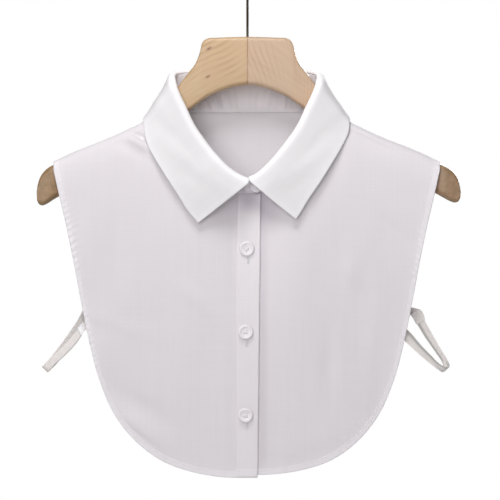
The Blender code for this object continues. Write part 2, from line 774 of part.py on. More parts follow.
cloth_sheet("front_right", front_right, PANEL_STEPS, FRONT_STEPS_ACROSS, cloth_white)
cloth_sheet("front_left", front_left, PANEL_STEPS, FRONT_STEPS_ACROSS, cloth_white)
back = cloth_sheet("back", back_half, PANEL_STEPS, BACK_STEPS_ACROSS, cloth_white)
mirror = back.modifiers.new("other_half", "MIRROR")
mirror.use_clip = True
mirror.merge_threshold = 0.0001
back.modifiers.move(1, 0)
cloth_sheet("placket", placket_surface, PLACKET_STEPS, 2, cloth_white)
cloth_sheet("collar_stand", stand_surface(), STAND_STEPS, 4, cloth_white)
cloth_sheet("collar_leaf", leaf_surface, LEAF_STEPS, 11, cloth_white)

for button_name, button_x, button_z in BUTTON_PLACES:
    placket_middle = depth_on(front_right, button_x, button_z) - LAYER
    button_back = placket_middle - CLOTH_WALL / 2 - SEAM_GAP
    button_place = (button_x, button_back, button_z)
    turned_button(button_name, BUTTON_RADIUS, button_place, 0.0, button_white)
turned_button("button_neck", NECK_BUTTON_RADIUS, NECK_BUTTON_PLACE, NECK_BUTTON_LEAN, button_white)

for strap_name, strap_rows, strap_side in (("strap_left", LEFT_STRAP, 1), ("strap_right", RIGHT_STRAP, -1)):
    strap = strap_surface(strap_rows, strap_side)
    cloth_sheet(strap_name, strap, STRAP_STEPS, 1, elastic_white, wall=STRAP_WALL)
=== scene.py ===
"""A detachable shirt collar with its bib, hung on a wooden hanger: the visible model.

Tables are in millimetres. +X is the wearer's left, +Y the wearer's back, +Z up,
and the origin is the inner top of the hook.
"""

import math

import bpy
import numpy as np
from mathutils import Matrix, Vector


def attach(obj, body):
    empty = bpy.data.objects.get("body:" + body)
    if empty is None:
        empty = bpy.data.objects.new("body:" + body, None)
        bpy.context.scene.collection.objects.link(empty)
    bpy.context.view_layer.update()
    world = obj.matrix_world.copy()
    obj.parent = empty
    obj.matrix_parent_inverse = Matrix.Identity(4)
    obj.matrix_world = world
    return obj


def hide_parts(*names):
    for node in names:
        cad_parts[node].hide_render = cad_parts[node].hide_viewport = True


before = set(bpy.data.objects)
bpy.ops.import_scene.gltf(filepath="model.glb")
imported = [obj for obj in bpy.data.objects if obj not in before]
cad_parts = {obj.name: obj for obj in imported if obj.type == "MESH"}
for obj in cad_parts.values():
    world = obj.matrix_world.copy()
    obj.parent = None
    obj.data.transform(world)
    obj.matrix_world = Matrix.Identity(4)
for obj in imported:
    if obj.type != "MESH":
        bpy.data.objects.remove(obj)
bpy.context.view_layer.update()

# The hanger: two contoured halves sawn from a pale board, rounded along their
# edges, glued at the centre and lacquered. The grain runs out along each arm.
MM = 0.001
WOOD_THICKNESS = 13.0
WOOD_EDGE_RADIUS = 4.0
ARM_EDGE_RADIUS = 6.2
ARM_START_X = 60.0
ARM_LENGTH = 130.0
ARM_FORWARD = 14.0
ARM_CURVE = 1.3
EDGE_BLEND_LENGTH = 20.0
TIP_THINNING = 0.35
TIP_FROM_X = 177.0
TIP_TO_X = 190.9
RIGHT_TIP_TRIM = 2.2
RIGHT_TIP_DEEPER = 2.6
WOOD_RINGS = 130
WOOD_CORNER_STEPS = 7
WOOD_COLUMNS = ("top_x", "top_z", "bottom_x", "bottom_z")
WOOD_SECTIONS = (
    (0.02, -57.9, 0.02, -101.0),
    (12.6, -58.2, 11.5, -102.6),
    (27.0, -58.8, 26.0, -107.4),
    (36.0, -59.6, 37.0, -112.6),
    (39.8, -61.8, 41.0, -115.4),
    (43.2, -73.0, 45.0, -118.4),
    (46.9, -82.2, 49.5, -121.6),
    (52.4, -89.5, 55.0, -126.0),
    (58.9, -97.8, 60.0, -129.6),
    (62.6, -103.2, 64.0, -132.4),
    (67.0, -109.4, 68.5, -135.6),
    (75.6, -118.8, 76.0, -140.6),
    (84.0, -128.8, 84.0, -145.8),
    (93.0, -137.0, 92.3, -151.6),
    (104.0, -142.0, 104.0, -159.0),
    (123.8, -151.0, 124.0, -172.0),
    (145.4, -159.6, 145.0, -186.0),
    (161.6, -166.7, 158.0, -193.4),
    (171.6, -172.6, 168.0, -198.6),
    (177.4, -174.8, 174.5, -202.2),
    (183.2, -178.7, 180.3, -205.4),
    (187.4, -183.7, 185.2, -207.2),
    (190.0, -190.9, 188.8, -206.2),
    (190.9, -197.4, 190.4, -203.2),
)


def smooth_step(low, high, value):
    """0 below low, 1 above high, and smooth between them."""
    share = np.clip((np.asarray(value, float) - low) / (high - low), 0.0, 1.0)
    return share * share * (3.0 - 2.0 * share)


def curve_through(rows):
    """A smooth curve through rows of numbers, read by shares of its length, 0 to 1."""
    points = np.array(rows, float)
    spans = np.linalg.norm(np.diff(points, axis=0), axis=1)
    knots = np.concatenate([[0.0], np.cumsum(spans)]) / spans.sum()
    slopes = np.gradient(points, knots, axis=0)

    def at(share):
        share = np.clip(np.asarray(share, float), 0.0, 1.0)
        i = np.clip(np.searchsorted(knots, share, side="right") - 1, 0, len(knots) - 2)
        width = (knots[i + 1] - knots[i])[..., None]
        t = (share - knots[i])[..., None] / width
        return (
            (1 + 2 * t) * (1 - t) ** 2 * points[i]
            + t * (1 - t) ** 2 * width * slopes[i]
            + t * t * (3 - 2 * t) * points[i + 1]
            + t * t * (t - 1) * width * slopes[i + 1]
        )

    return at


def arm_y(x):
    """How far forward of the hook the contoured arm's middle lies at x."""
    return -ARM_FORWARD * (np.maximum(np.abs(x) - ARM_START_X, 0.0) / ARM_LENGTH) ** ARM_CURVE


def wood_ring(share, side):
    """A rounded section between the half's top and bottom edges."""
    top_x, top_z, bottom_x, bottom_z = wood_edges(share)
    top, bottom = np.array((top_x, 0.0, top_z)), np.array((bottom_x, 0.0, bottom_z))
    height = np.linalg.norm(top - bottom)
    end_share = smooth_step(TIP_FROM_X, TIP_TO_X, top_x)
    half_thickness = WOOD_THICKNESS / 2 * (1.0 - TIP_THINNING * end_share)
    on_arm = smooth_step(ARM_START_X, ARM_START_X + EDGE_BLEND_LENGTH, top_x)
    radius = WOOD_EDGE_RADIUS + (ARM_EDGE_RADIUS - WOOD_EDGE_RADIUS) * on_arm
    radius = min(radius, height * 0.4, half_thickness - 0.3)
    points = []
    for corner in range(4):
        side_y = half_thickness - radius if corner in (0, 3) else radius - half_thickness
        side_h = height / 2 - radius if corner in (0, 1) else radius - height / 2
        for step in range(WOOD_CORNER_STEPS + 1):
            turn = math.radians(90 * corner + 90 * step / WOOD_CORNER_STEPS)
            point = (top + bottom) / 2 + (top - bottom) / height * (side_h + radius * math.sin(turn))
            point[1] = side_y + radius * math.cos(turn) + arm_y(point[0])
            if side < 0:
                if side_h < 0:
                    point[2] -= RIGHT_TIP_DEEPER * smooth_step(150.0, 172.0, point[0])
                point[0] -= RIGHT_TIP_TRIM * smooth_step(170.0, 190.0, point[0])
            points.append((side * point[0], point[1], point[2]))
    return points


def face_out(mesh):
    """Turns a closed mesh's faces round, all together, where they point inwards."""
    mesh.calc_loop_triangles()
    corners = np.empty(len(mesh.loop_triangles) * 3, np.int32)
    mesh.loop_triangles.foreach_get("vertices", corners)
    points = np.empty(len(mesh.vertices) * 3)
    mesh.vertices.foreach_get("co", points)
    a, b, c = points.reshape(-1, 3)[corners.reshape(-1, 3)].transpose(1, 0, 2)
    if np.sum(a * np.cross(b, c)) < 0:
        mesh.flip_normals()


def new_piece(name, vertices, faces, material, sharp_degrees=None):
    """A mesh object at the origin, made from millimetres, with smooth shading."""
    mesh = bpy.data.meshes.new(name)
    mesh.from_pydata((np.array(vertices) * MM).tolist(), [], faces)
    face_out(mesh)
    mesh.materials.append(material)
    mesh.shade_smooth()
    if sharp_degrees:
        mesh.set_sharp_from_angle(angle=math.radians(sharp_degrees))
    item = bpy.data.objects.new(name, mesh)
    bpy.context.scene.collection.objects.link(item)
    return item


def loft(rings):
    """Vertices and faces through closed rings of equal count, with both ends filled."""
    count = len(rings[0])
    vertices = [point for ring in rings for point in ring]
    faces = []
    for r in range(len(rings) - 1):
        for k in range(count):
            after = (k + 1) % count
            faces.append((r * count + k, r * count + after, (r + 1) * count + after, (r + 1) * count + k))
    faces.append(tuple(range(count))[::-1])
    last = (len(rings) - 1) * count
    faces.append(tuple(range(last, last + count)))
    return vertices, faces


def new_material(name, colour, roughness):
    """A material, with its nodes, its Principled shader and a way to add and join nodes."""
    material = bpy.data.materials.new(name)
    material.use_nodes = True
    shader = material.node_tree.nodes["Principled BSDF"]
    shader.inputs["Base Color"].default_value = (*colour, 1.0)
    shader.inputs["Roughness"].default_value = roughness
    return material, shader


def add_node(tree, kind, settings=None, **inputs):
    """A node with its settings and with values or links for its inputs, given by name."""
    node = tree.nodes.new(kind)
    for key, value in (settings or {}).items():
        setattr(node, key, value)
    for key, value in inputs.items():
        socket = node.inputs[int(key[1:])] if key[0] == "_" and key[1:].isdigit() else node.inputs[key.replace("_", " ")]
        if isinstance(value, bpy.types.NodeSocket):
            tree.links.new(value, socket)
        else:
            socket.default_value = value
    return node


def new_group(name, inputs, outputs):
    """A shader node group with named float, vector and colour sockets."""
    tree = bpy.data.node_groups.new(name, "ShaderNodeTree")
    for socket_name, socket_type, value in inputs:
        socket = tree.interface.new_socket(socket_name, in_out="INPUT", socket_type=socket_type)
        if value is not None:
            socket.default_value = value
    for socket_name, socket_type in outputs:
        tree.interface.new_socket(socket_name, in_out="OUTPUT", socket_type=socket_type)
    return tree, tree.nodes.new("NodeGroupInput").outputs, tree.nodes.new("NodeGroupOutput").inputs


def wood_grain_group():
    """Growth rings and fine fibres along the group's X: Ring, Fibre and Height, each about 0 to 1."""
    tree, given, result = new_group(
        "wood_grain",
        (
            ("Vector", "NodeSocketVector", None),
            ("Ring Spacing", "NodeSocketFloat", 0.006),
            ("Waviness", "NodeSocketFloat", 0.02),
            ("Arch", "NodeSocketFloat", 0.0),
        ),
        (("Ring", "NodeSocketFloat"), ("Fibre", "NodeSocketFloat"), ("Height", "NodeSocketFloat")),
    )
    drift = add_node(tree, "ShaderNodeTexNoise", Vector=given["Vector"], Scale=16.0, Detail=2.0)
    shift = add_node(tree, "ShaderNodeMath", {"operation": "MULTIPLY"}, _0=drift.outputs["Fac"], _1=given["Waviness"])
    parts = add_node(tree, "ShaderNodeSeparateXYZ", Vector=given["Vector"])
    squared = add_node(tree, "ShaderNodeMath", {"operation": "MULTIPLY"}, _0=parts.outputs["X"], _1=parts.outputs["X"])
    arched = add_node(tree, "ShaderNodeMath", {"operation": "MULTIPLY_ADD"}, _0=squared.outputs[0],
                      _1=given["Arch"], _2=parts.outputs["Z"])
    across = add_node(tree, "ShaderNodeMath", {"operation": "ADD"}, _0=arched.outputs[0], _1=shift.outputs[0])
    turns = add_node(tree, "ShaderNodeMath", {"operation": "DIVIDE"}, _0=across.outputs[0], _1=given["Ring Spacing"])
    phase = add_node(tree, "ShaderNodeMath", {"operation": "FRACT"}, _0=turns.outputs[0])
    late = add_node(tree, "ShaderNodeMapRange", {"interpolation_type": "SMOOTHSTEP"},
                    Value=phase.outputs[0], From_Min=0.35, From_Max=0.92)
    fall = add_node(tree, "ShaderNodeMapRange", Value=phase.outputs[0], From_Min=0.93, From_Max=1.0, To_Min=1.0, To_Max=0.0)
    band = add_node(tree, "ShaderNodeMath", {"operation": "MULTIPLY"}, _0=late.outputs[0], _1=fall.outputs[0])
    patchy = add_node(tree, "ShaderNodeTexNoise", Vector=given["Vector"], Scale=31.0, Detail=1.0)
    strength = add_node(tree, "ShaderNodeMapRange", Value=patchy.outputs["Fac"], From_Min=0.35, From_Max=0.68)
    ring = add_node(tree, "ShaderNodeMath", {"operation": "MULTIPLY"}, _0=band.outputs[0], _1=strength.outputs[0])
    stretched = add_node(tree, "ShaderNodeMapping", Vector=given["Vector"], Scale=(26.0, 620.0, 620.0))
    fibre = add_node(tree, "ShaderNodeTexNoise", Vector=stretched.outputs[0], Scale=1.0, Detail=4.0, Roughness=0.6)
    height = add_node(tree, "ShaderNodeMath", {"operation": "MULTIPLY"}, _0=fibre.outputs["Fac"], _1=0.8)
    tree.links.new(ring.outputs[0], result["Ring"])
    tree.links.new(fibre.outputs["Fac"], result["Fibre"])
    tree.links.new(height.outputs[0], result["Height"])
    return tree


def wood_material(name, grain_turn, arch, pale, dark, knots):
    """Lacquered wood whose grain is turned about Y, with small dark knots at places in metres."""
    material, shader = new_material(name, pale, 0.42)
    tree = material.node_tree
    place = add_node(tree, "ShaderNodeTexCoord").outputs["Object"]
    turned = add_node(tree, "ShaderNodeMapping", Vector=place, Rotation=(0.0, math.radians(grain_turn), 0.0))
    grain = add_node(tree, "ShaderNodeGroup", {"node_tree": WOOD_GRAIN}, Vector=turned.outputs[0], Arch=arch)
    ring_share = add_node(tree, "ShaderNodeMath", {"operation": "MULTIPLY"}, _0=grain.outputs["Ring"], _1=0.5)
    fibre_share = add_node(tree, "ShaderNodeMapRange", Value=grain.outputs["Fibre"], From_Min=0.3, From_Max=0.75, To_Max=0.42)
    vein = add_node(tree, "ShaderNodeMath", {"operation": "ADD"}, _0=ring_share.outputs[0], _1=fibre_share.outputs[0])
    colour = add_node(tree, "ShaderNodeMix", {"data_type": "RGBA"}, _0=vein.outputs[0], _6=(*pale, 1.0), _7=(*dark, 1.0))
    mixed = colour.outputs[2]
    clouds = add_node(tree, "ShaderNodeTexNoise", Vector=place, Scale=22.0, Detail=2.0)
    cloud_share = add_node(tree, "ShaderNodeMapRange", Value=clouds.outputs["Fac"], From_Min=0.42, From_Max=0.7, To_Max=0.35)
    blush = add_node(tree, "ShaderNodeMix", {"data_type": "RGBA"}, _0=cloud_share.outputs[0], _6=mixed, _7=WOOD_BLUSH)
    mixed = blush.outputs[2]
    for knot_x, knot_z, knot_size in knots:
        offset = add_node(tree, "ShaderNodeVectorMath", {"operation": "SUBTRACT"}, _0=turned.outputs[0])
        turn = math.radians(grain_turn)
        offset.inputs[1].default_value = (
            (knot_x * math.cos(turn) + knot_z * math.sin(turn)) * MM,
            0.0,
            (-knot_x * math.sin(turn) + knot_z * math.cos(turn)) * MM,
        )
        squeezed = add_node(tree, "ShaderNodeVectorMath", {"operation": "MULTIPLY"}, _0=offset.outputs[0], _1=(0.45, 0.0, 1.0))
        away = add_node(tree, "ShaderNodeVectorMath", {"operation": "LENGTH"}, _0=squeezed.outputs[0])
        spot = add_node(tree, "ShaderNodeMapRange", {"interpolation_type": "SMOOTHSTEP"}, Value=away.outputs["Value"],
                        From_Min=0.0, From_Max=knot_size * MM, To_Min=0.85, To_Max=0.0)
        knotted = add_node(tree, "ShaderNodeMix", {"data_type": "RGBA"}, _0=spot.outputs[0], _6=mixed, _7=KNOT_COLOUR)
        mixed = knotted.outputs[2]
    # The arms darken towards their ends: painted shade, with random mottling over it.
    parts = add_node(tree, "ShaderNodeSeparateXYZ", Vector=place)
    out = add_node(tree, "ShaderNodeMath", {"operation": "ABSOLUTE"}, _0=parts.outputs["X"])
    end = add_node(tree, "ShaderNodeMapRange", {"interpolation_type": "SMOOTHSTEP"}, Value=out.outputs[0],
                   From_Min=0.1, From_Max=0.165, To_Max=0.9)
    ended = add_node(tree, "ShaderNodeMix", {"data_type": "RGBA", "blend_type": "MULTIPLY"},
                     _0=end.outputs[0], _6=mixed, _7=ARM_END_PAINTED_SHADE)
    blotches = add_node(tree, "ShaderNodeTexNoise", Vector=place, Scale=170.0, Detail=3.0, Roughness=0.55)
    blotch = add_node(tree, "ShaderNodeMapRange", Value=blotches.outputs["Fac"], From_Min=0.38, From_Max=0.66)
    end_mottle = add_node(tree, "ShaderNodeMath", {"operation": "MULTIPLY"}, _0=blotch.outputs[0], _1=end.outputs[0])
    ended = add_node(tree, "ShaderNodeMix", {"data_type": "RGBA", "blend_type": "MULTIPLY"},
                     _0=end_mottle.outputs[0], _6=ended.outputs[2], _7=ARM_BLOTCH_TINT)
    joint = add_node(tree, "ShaderNodeMapRange", {"interpolation_type": "SMOOTHSTEP"}, Value=out.outputs[0],
                     From_Min=0.0001, From_Max=0.0009, To_Min=0.75, To_Max=0.0)
    jointed = add_node(tree, "ShaderNodeMix", {"data_type": "RGBA"}, _0=joint.outputs[0], _6=ended.outputs[2], _7=GLUE_COLOUR)
    tree.links.new(jointed.outputs[2], shader.inputs["Base Color"])
    gloss = add_node(tree, "ShaderNodeMapRange", Value=grain.outputs["Fibre"], To_Min=0.36, To_Max=0.52)
    tree.links.new(gloss.outputs[0], shader.inputs["Roughness"])
    bump = add_node(tree, "ShaderNodeBump", Strength=0.25, Distance=0.00025, Height=grain.outputs["Height"])
    tree.links.new(bump.outputs[0], shader.inputs["Normal"])
    shader.inputs["Coat Weight"].default_value = 0.12
    shader.inputs["Coat Roughness"].default_value = 0.35
    return material


WOOD_BLUSH = (0.59, 0.375, 0.215, 1.0)
KNOT_COLOUR = (0.17, 0.07, 0.03, 1.0)
GLUE_COLOUR = (0.3, 0.15, 0.07, 1.0)
ARM_END_PAINTED_SHADE = (0.60, 0.53, 0.46, 1.0)
ARM_BLOTCH_TINT = (0.72, 0.74, 0.66, 1.0)
WOOD_GRAIN = wood_grain_group()
wood_edges = curve_through(WOOD_SECTIONS)
HANGER_HALVES = (
    ("hanger_right", -1, 31.0, 0.0, (0.565, 0.40, 0.24), (0.40, 0.23, 0.105),
     ((-34.6, -68.8, 2.0), (-35.6, -94.0, 1.7))),
    ("hanger_left", 1, -36.0, 7.0, (0.575, 0.412, 0.288), (0.43, 0.267, 0.157), ()),
)
for half_name, half_side, grain_turn, grain_arch, wood_pale, wood_dark, wood_knots in HANGER_HALVES:
    shares = np.linspace(0.0, 1.0, WOOD_RINGS)
    half_rings = [wood_ring(share, half_side) for share in shares]
    half_material = wood_material(f"{half_name}_wood", grain_turn, grain_arch, wood_pale, wood_dark, wood_knots)
    half = new_piece(f"{half_name}_wood", *loft(half_rings), half_material, 45)
    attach(half, "root")
    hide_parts(half_name)

# The hook: bent steel wire with a dark bronzed skin, its end rounded off, driven
# into a hole at the joint.
WIRE_RADIUS = 1.1
HOOK_INNER_RADIUS = 20.0
HOOK_ARC_FROM = 222.0
HOOK_ARC_TO = -32.0
WOOD_TOP_Z = -57.9
SHANK_FOOT_Z = -74.9
SHANK_STRAIGHT = 7.0
HOOK_NECK_SHARES = (0.3, 0.6, 0.85)
HOOK_NECK_CURVE = 1.4
HOOK_ARC_STEPS = 26
HOOK_RINGS = 150
WIRE_SIDES = 20


def hook_route():
    """The wire's middle line in Y and Z: the shank, the bend out of it and the arc."""
    centre_radius = HOOK_INNER_RADIUS + WIRE_RADIUS
    centre_z = -HOOK_INNER_RADIUS
    shank_top = WOOD_TOP_Z + SHANK_STRAIGHT
    route = [(0.0, SHANK_FOOT_Z), (0.0, WOOD_TOP_Z), (0.0, shank_top)]
    first = math.radians(HOOK_ARC_FROM)
    joint_y = centre_radius * math.cos(first)
    joint_z = centre_z + centre_radius * math.sin(first)
    for share in HOOK_NECK_SHARES:
        route.append((joint_y * share**HOOK_NECK_CURVE, shank_top + (joint_z - shank_top) * share))
    for step in range(HOOK_ARC_STEPS + 1):
        turn = math.radians(HOOK_ARC_FROM + (HOOK_ARC_TO - HOOK_ARC_FROM) * step / HOOK_ARC_STEPS)
        route.append((centre_radius * math.cos(turn), centre_z + centre_radius * math.sin(turn)))
    return [(0.0, y, z) for y, z in route]


def tube(route, radius, rings, sides, side_axis, end_steps=4):
    """Rings of a round tube along a smooth route, with domed ends."""
    line = curve_through(route)
    shares = np.linspace(0.0, 1.0, rings)
    points = line(shares)
    made = []
    for i in range(rings):
        along = points[min(i + 1, rings - 1)] - points[max(i - 1, 0)]
        along /= np.linalg.norm(along)
        first = np.cross(along, side_axis)
        first /= np.linalg.norm(first)
        second = np.cross(along, first)
        made.append((points[i], along, first, second))
    domes = [math.radians(90 * step / end_steps) for step in range(end_steps, 0, -1)]
    stations = [(made[0], -math.sin(turn), math.cos(turn)) for turn in domes]
    stations += [(spot, 0.0, 1.0) for spot in made]
    stations += [(made[-1], math.sin(turn), math.cos(turn)) for turn in reversed(domes)]
    out = []
    for (point, along, first, second), push, size in stations:
        size = max(size, 0.08)
        ring = []
        for k in range(sides):
            turn = 2 * math.pi * k / sides
            ring.append(point + radius * (push * along + size * (math.cos(turn) * first + math.sin(turn) * second)))
        out.append(ring)
    return out


hook_metal, hook_shader = new_material("hook_bronzed_steel", (0.075, 0.062, 0.045), 0.4)
hook_shader.inputs["Metallic"].default_value = 0.85
hook_tree = hook_metal.node_tree
hook_place = add_node(hook_tree, "ShaderNodeTexCoord").outputs["Object"]
hook_wear = add_node(hook_tree, "ShaderNodeTexNoise", Vector=hook_place, Scale=420.0, Detail=3.0)
hook_rough = add_node(hook_tree, "ShaderNodeMapRange", Value=hook_wear.outputs["Fac"], To_Min=0.28, To_Max=0.55)
hook_tree.links.new(hook_rough.outputs[0], hook_shader.inputs["Roughness"])
hook_tint = add_node(hook_tree, "ShaderNodeMix", {"data_type": "RGBA"}, _0=hook_wear.outputs["Fac"],
                     _6=(0.05, 0.042, 0.03, 1.0), _7=(0.11, 0.09, 0.06, 1.0))
hook_tree.links.new(hook_tint.outputs[2], hook_shader.inputs["Base Color"])
hook_rings = tube(hook_route(), WIRE_RADIUS, HOOK_RINGS, WIRE_SIDES, np.array((1.0, 0.0, 0.0)))
hook = new_piece("hook_wire", *loft(hook_rings), hook_metal, 60)
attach(hook, "root")
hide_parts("hook")

# The back panel: white plain-weave shirting, cut to the fronts' outline, seamed to
# them over the shoulders and turned up in a narrow, stitched hem.
CLOTH_CENTRE_X = -0.7
CLOTH_WALL = 1.1
SEAM_GAP = 0.3
LAYER = CLOTH_WALL + SEAM_GAP
LAP_SPACING = LAYER + 0.3
SINGLE_CLOTH = 0.6
HEM_CLOTH = 1.05
ARM_TO_CLOTH = 0.5
SHOULDER_ROLL = WOOD_THICKNESS / 2 + ARM_TO_CLOTH + CLOTH_WALL / 2
SHOULDER_LINE = (
    (76.2, -116.1),
    (84.0, -125.6),
    (93.0, -134.6),
    (103.0, -139.8),
    (123.8, -149.5),
    (145.4, -158.1),
    (161.6, -165.2),
    (172.6, -171.0),
)
SIDE_COLUMNS = ("x", "z", "front_y", "back_y")
SIDE_AND_HEM = (
    (172.0, -178.4, -19.0, -4.2),
    (167.6, -201.1, -19.4, -3.8),
    (161.4, -227.0, -19.6, -3.4),
    (154.9, -258.7, -19.6, -3.0),
    (148.2, -294.7, -19.4, -2.4),
    (140.6, -331.6, -19.2, -1.4),
    (131.2, -366.7, -19.2, 0.0),
    (117.0, -398.4, -19.4, 2.0),
    (99.0, -420.5, -20.0, 4.0),
    (74.8, -438.3, -20.8, 6.0),
    (48.9, -447.7, -21.4, 8.0),
    (25.0, -452.0, -21.8, 9.5),
    (0.0, -453.0, -22.0, 10.0),
)
COLLAR_COLUMNS = ("fold", "seam", "edge", "bulge")
COLLAR_STATIONS = (
    ((0.0, 24.0, -86.8), (0.0, 20.0, -124.6), (0.0, 28.0, -134.0), 1.5),
    ((22.5, 23.4, -86.8), (24.5, 19.4, -124.6), (26.0, 27.4, -134.0), 1.5),
    ((43.0, 20.8, -86.9), (47.0, 17.0, -124.4), (54.0, 24.6, -134.4), 2.0),
    ((56.5, 15.4, -87.6), (63.0, 12.6, -123.9), (76.0, 18.4, -135.2), 2.5),
    ((63.4, 8.4, -89.8), (74.8, 7.2, -122.2), (87.0, 11.0, -136.4), 2.5),
    ((64.0, 2.0, -93.2), (75.6, 3.2, -116.6), (91.8, 5.4, -133.4), 2.5),
    ((63.2, -4.6, -96.6), (75.6, -4.0, -116.1), (92.6, -3.0, -131.0), 2.5),
    ((61.8, -9.0, -101.8), (75.6, -8.4, -121.0), (92.4, -10.6, -135.4), 2.5),
    ((58.7, -10.6, -110.0), (74.4, -10.8, -128.0), (91.2, -13.4, -144.0), 2.5),
    ((52.6, -12.0, -122.8), (70.6, -12.6, -136.5), (86.3, -16.8, -154.8), 2.5),
    ((46.3, -13.5, -136.3), (64.8, -14.6, -147.0), (80.2, -19.6, -165.4), 2.5),
    ((37.4, -15.2, -149.8), (55.8, -16.8, -160.0), (72.4, -22.2, -178.2), 2.5),
    ((27.0, -17.0, -163.3), (43.0, -19.2, -174.6), (63.3, -24.8, -192.3), 3.0),
    ((15.3, -18.8, -175.9), (26.6, -21.6, -188.6), (54.0, -26.8, -206.0), 3.5),
    ((7.2, -20.0, -182.4), (12.6, -23.0, -195.6), (47.6, -27.8, -216.6), 4.0),
    ((1.4, -20.6, -184.9), (0.0, -23.6, -198.0), (44.0, -28.4, -222.0), 4.5),
)
BACK_NECK_ROWS = 4
FRONT_NECK_FIRST_ROW = 8
LAP_BLEND_FROM = 12.0
LAP_BLEND_TO = 45.0
HEM_WAVE = 1.0
HEM_WAVES = 3.75
PANEL_ROLL_SHARE = 4 / 34
PANEL_STEPS = 320
HEM_WIDTH = 5.2
HEM_ROWS = (0.0, 0.5, 1.2, 2.2, 3.2, 4.0, 4.6, 5.0, 5.4, 5.9, 6.8, 8.2, 10.5, 13.5, 17.5)
PANEL_ROWS = 44
BACK_MIDDLE = (0.0, 14.0, -280.0)
BACK_NARROWING = 0.99
BACK_SHORTER = 2.0
BACK_NECK_DROP = 0.4
PUCKER_PITCH = 5.6
PUCKER_REACH = 5.0
PUCKER_HEIGHT = 0.52
CREASE_SHARPNESS = 1.5


def on_side(side, points):
    """The points for the wearer's left, or their mirror images for the right, set on the garment."""
    return np.asarray(points) * np.array((side, 1.0, 1.0)) + np.array((CLOTH_CENTRE_X, 0.0, 0.0))


def lap_shift(side, x):
    """Near the centre the wearer's right side lies forward and the left side back."""
    return side * LAP_SPACING / 2 * (1.0 - smooth_step(LAP_BLEND_FROM, LAP_BLEND_TO, np.abs(x)))


def panel_surface(side, face, neck_rows, side_rows, centre_rows):
    """A bib panel: the roll over the arm first, then the hanging cloth down to the hem."""
    neck, outer, centre = (curve_through(rows) for rows in (neck_rows, side_rows, centre_rows))

    def rolled(v, turn):
        line = shoulder_line(v)
        x, z = line[..., 0], line[..., 1]
        y = arm_y(x) + face * SHOULDER_ROLL * np.sin(turn)
        return np.stack((x, y, z - SHOULDER_ROLL * (1 - np.cos(turn))), axis=-1)

    def hanging(u, v):
        p, q = u[..., None], v[..., None]
        corners = (1 - p) * (1 - q) * neck(0.0) + (1 - p) * q * outer(0.0)
        corners = corners + p * (1 - q) * neck(1.0) + p * q * outer(1.0)
        along = (1 - q) * neck(u) + q * outer(u)
        across = (1 - p) * rolled(v, np.full_like(v, math.pi / 2)) + p * centre(v)
        return along + across - corners

    seam_turn = math.asin(SEAM_GAP / 2 / SHOULDER_ROLL)

    def at(u, v):
        u, v = np.broadcast_arrays(np.asarray(u, float), np.asarray(v, float))
        turn = seam_turn + (math.pi / 2 - seam_turn) * np.clip(u / PANEL_ROLL_SHARE, 0.0, 1.0)
        fall = np.clip((u - PANEL_ROLL_SHARE) / (1 - PANEL_ROLL_SHARE), 0.0, 1.0)
        hung = hanging(fall, v)
        wave = np.sin(math.pi * fall) * np.sin(2 * math.pi * HEM_WAVES * fall)
        hung[..., 1] += HEM_WAVE * v**3 * wave
        point = np.where((u <= PANEL_ROLL_SHARE)[..., None], rolled(v, turn), hung)
        if face < 0:
            point[..., 1] += lap_shift(side, point[..., 0])
        return on_side(side, point)

    return at


def shoulder_roll_end(share, face):
    """Where the cloth leaves the arm and starts to hang, on the front (-1) or back (1)."""
    x, z = shoulder_line(share)
    return (x, arm_y(x) + face * SHOULDER_ROLL, z - SHOULDER_ROLL)


def back_panel_surface(side):
    """Half the back, from the centre out. It is cut a little narrower than the fronts."""
    neck_rows = [shoulder_roll_end(0.0, 1)]
    for row in reversed(COLLAR_STATIONS[:BACK_NECK_ROWS]):
        x, y, z = dict(zip(COLLAR_COLUMNS, row))["seam"]
        neck_rows.append((x, y, z - BACK_NECK_DROP))
    side_rows = []
    for row in SIDE_AND_HEM:
        spot = dict(zip(SIDE_COLUMNS, row))
        side_rows.append((spot["x"] * BACK_NARROWING, spot["back_y"], spot["z"] + BACK_SHORTER))
    side_rows[0] = shoulder_roll_end(1.0, 1)
    return panel_surface(side, 1, neck_rows, side_rows, (neck_rows[-1], BACK_MIDDLE, side_rows[-1]))


def panel_grid(surface):
    """Shares u and v of a panel's grid, with rows set at the hem's own distances, and those distances."""
    u = np.linspace(0.0, 1.0, PANEL_STEPS + 1)
    reading = surface(u[:, None], np.linspace(0.0, 1.0, 25)[None, :])
    lengths = np.linalg.norm(np.diff(reading, axis=1), axis=2).sum(axis=1)
    last_share = 1.0 - HEM_ROWS[-1] / lengths
    inner = np.linspace(0.0, 1.0, PANEL_ROWS + 1)[None, :-1] * last_share[:, None]
    hem = 1.0 - np.array(HEM_ROWS[::-1])[None, :] / lengths[:, None]
    v = np.concatenate([inner, hem], axis=1)
    away = (1.0 - v) * lengths[:, None]
    return np.broadcast_to(u[:, None], v.shape), v, away


def grid_normals(points):
    """Unit normals of a grid of points."""
    by_u = np.gradient(points, axis=0)
    by_v = np.gradient(points, axis=1)
    normals = np.cross(by_u, by_v)
    lengths = np.linalg.norm(normals, axis=2, keepdims=True)
    return normals / np.maximum(lengths, 1e-9)


def along_lengths(points):
    """The length run along the first way of a grid, at each point."""
    steps = np.linalg.norm(np.diff(points, axis=0), axis=2)
    return np.concatenate([np.zeros((1, points.shape[1])), np.cumsum(steps, axis=0)], axis=0)


def creases(points, rows):
    """Soft ridges (+) and troughs (-): x, z, degrees, half length, half width and height."""
    relief = np.zeros(points.shape[:2])
    for x, z, degrees, half_length, half_width, height in rows:
        turn = math.radians(degrees)
        right, up = points[..., 0] - x, points[..., 2] - z
        along = (right * math.cos(turn) + up * math.sin(turn)) / half_length
        across = (-right * math.sin(turn) + up * math.cos(turn)) / half_width
        relief += height * np.exp(-(along**2) - across**2)
    return relief


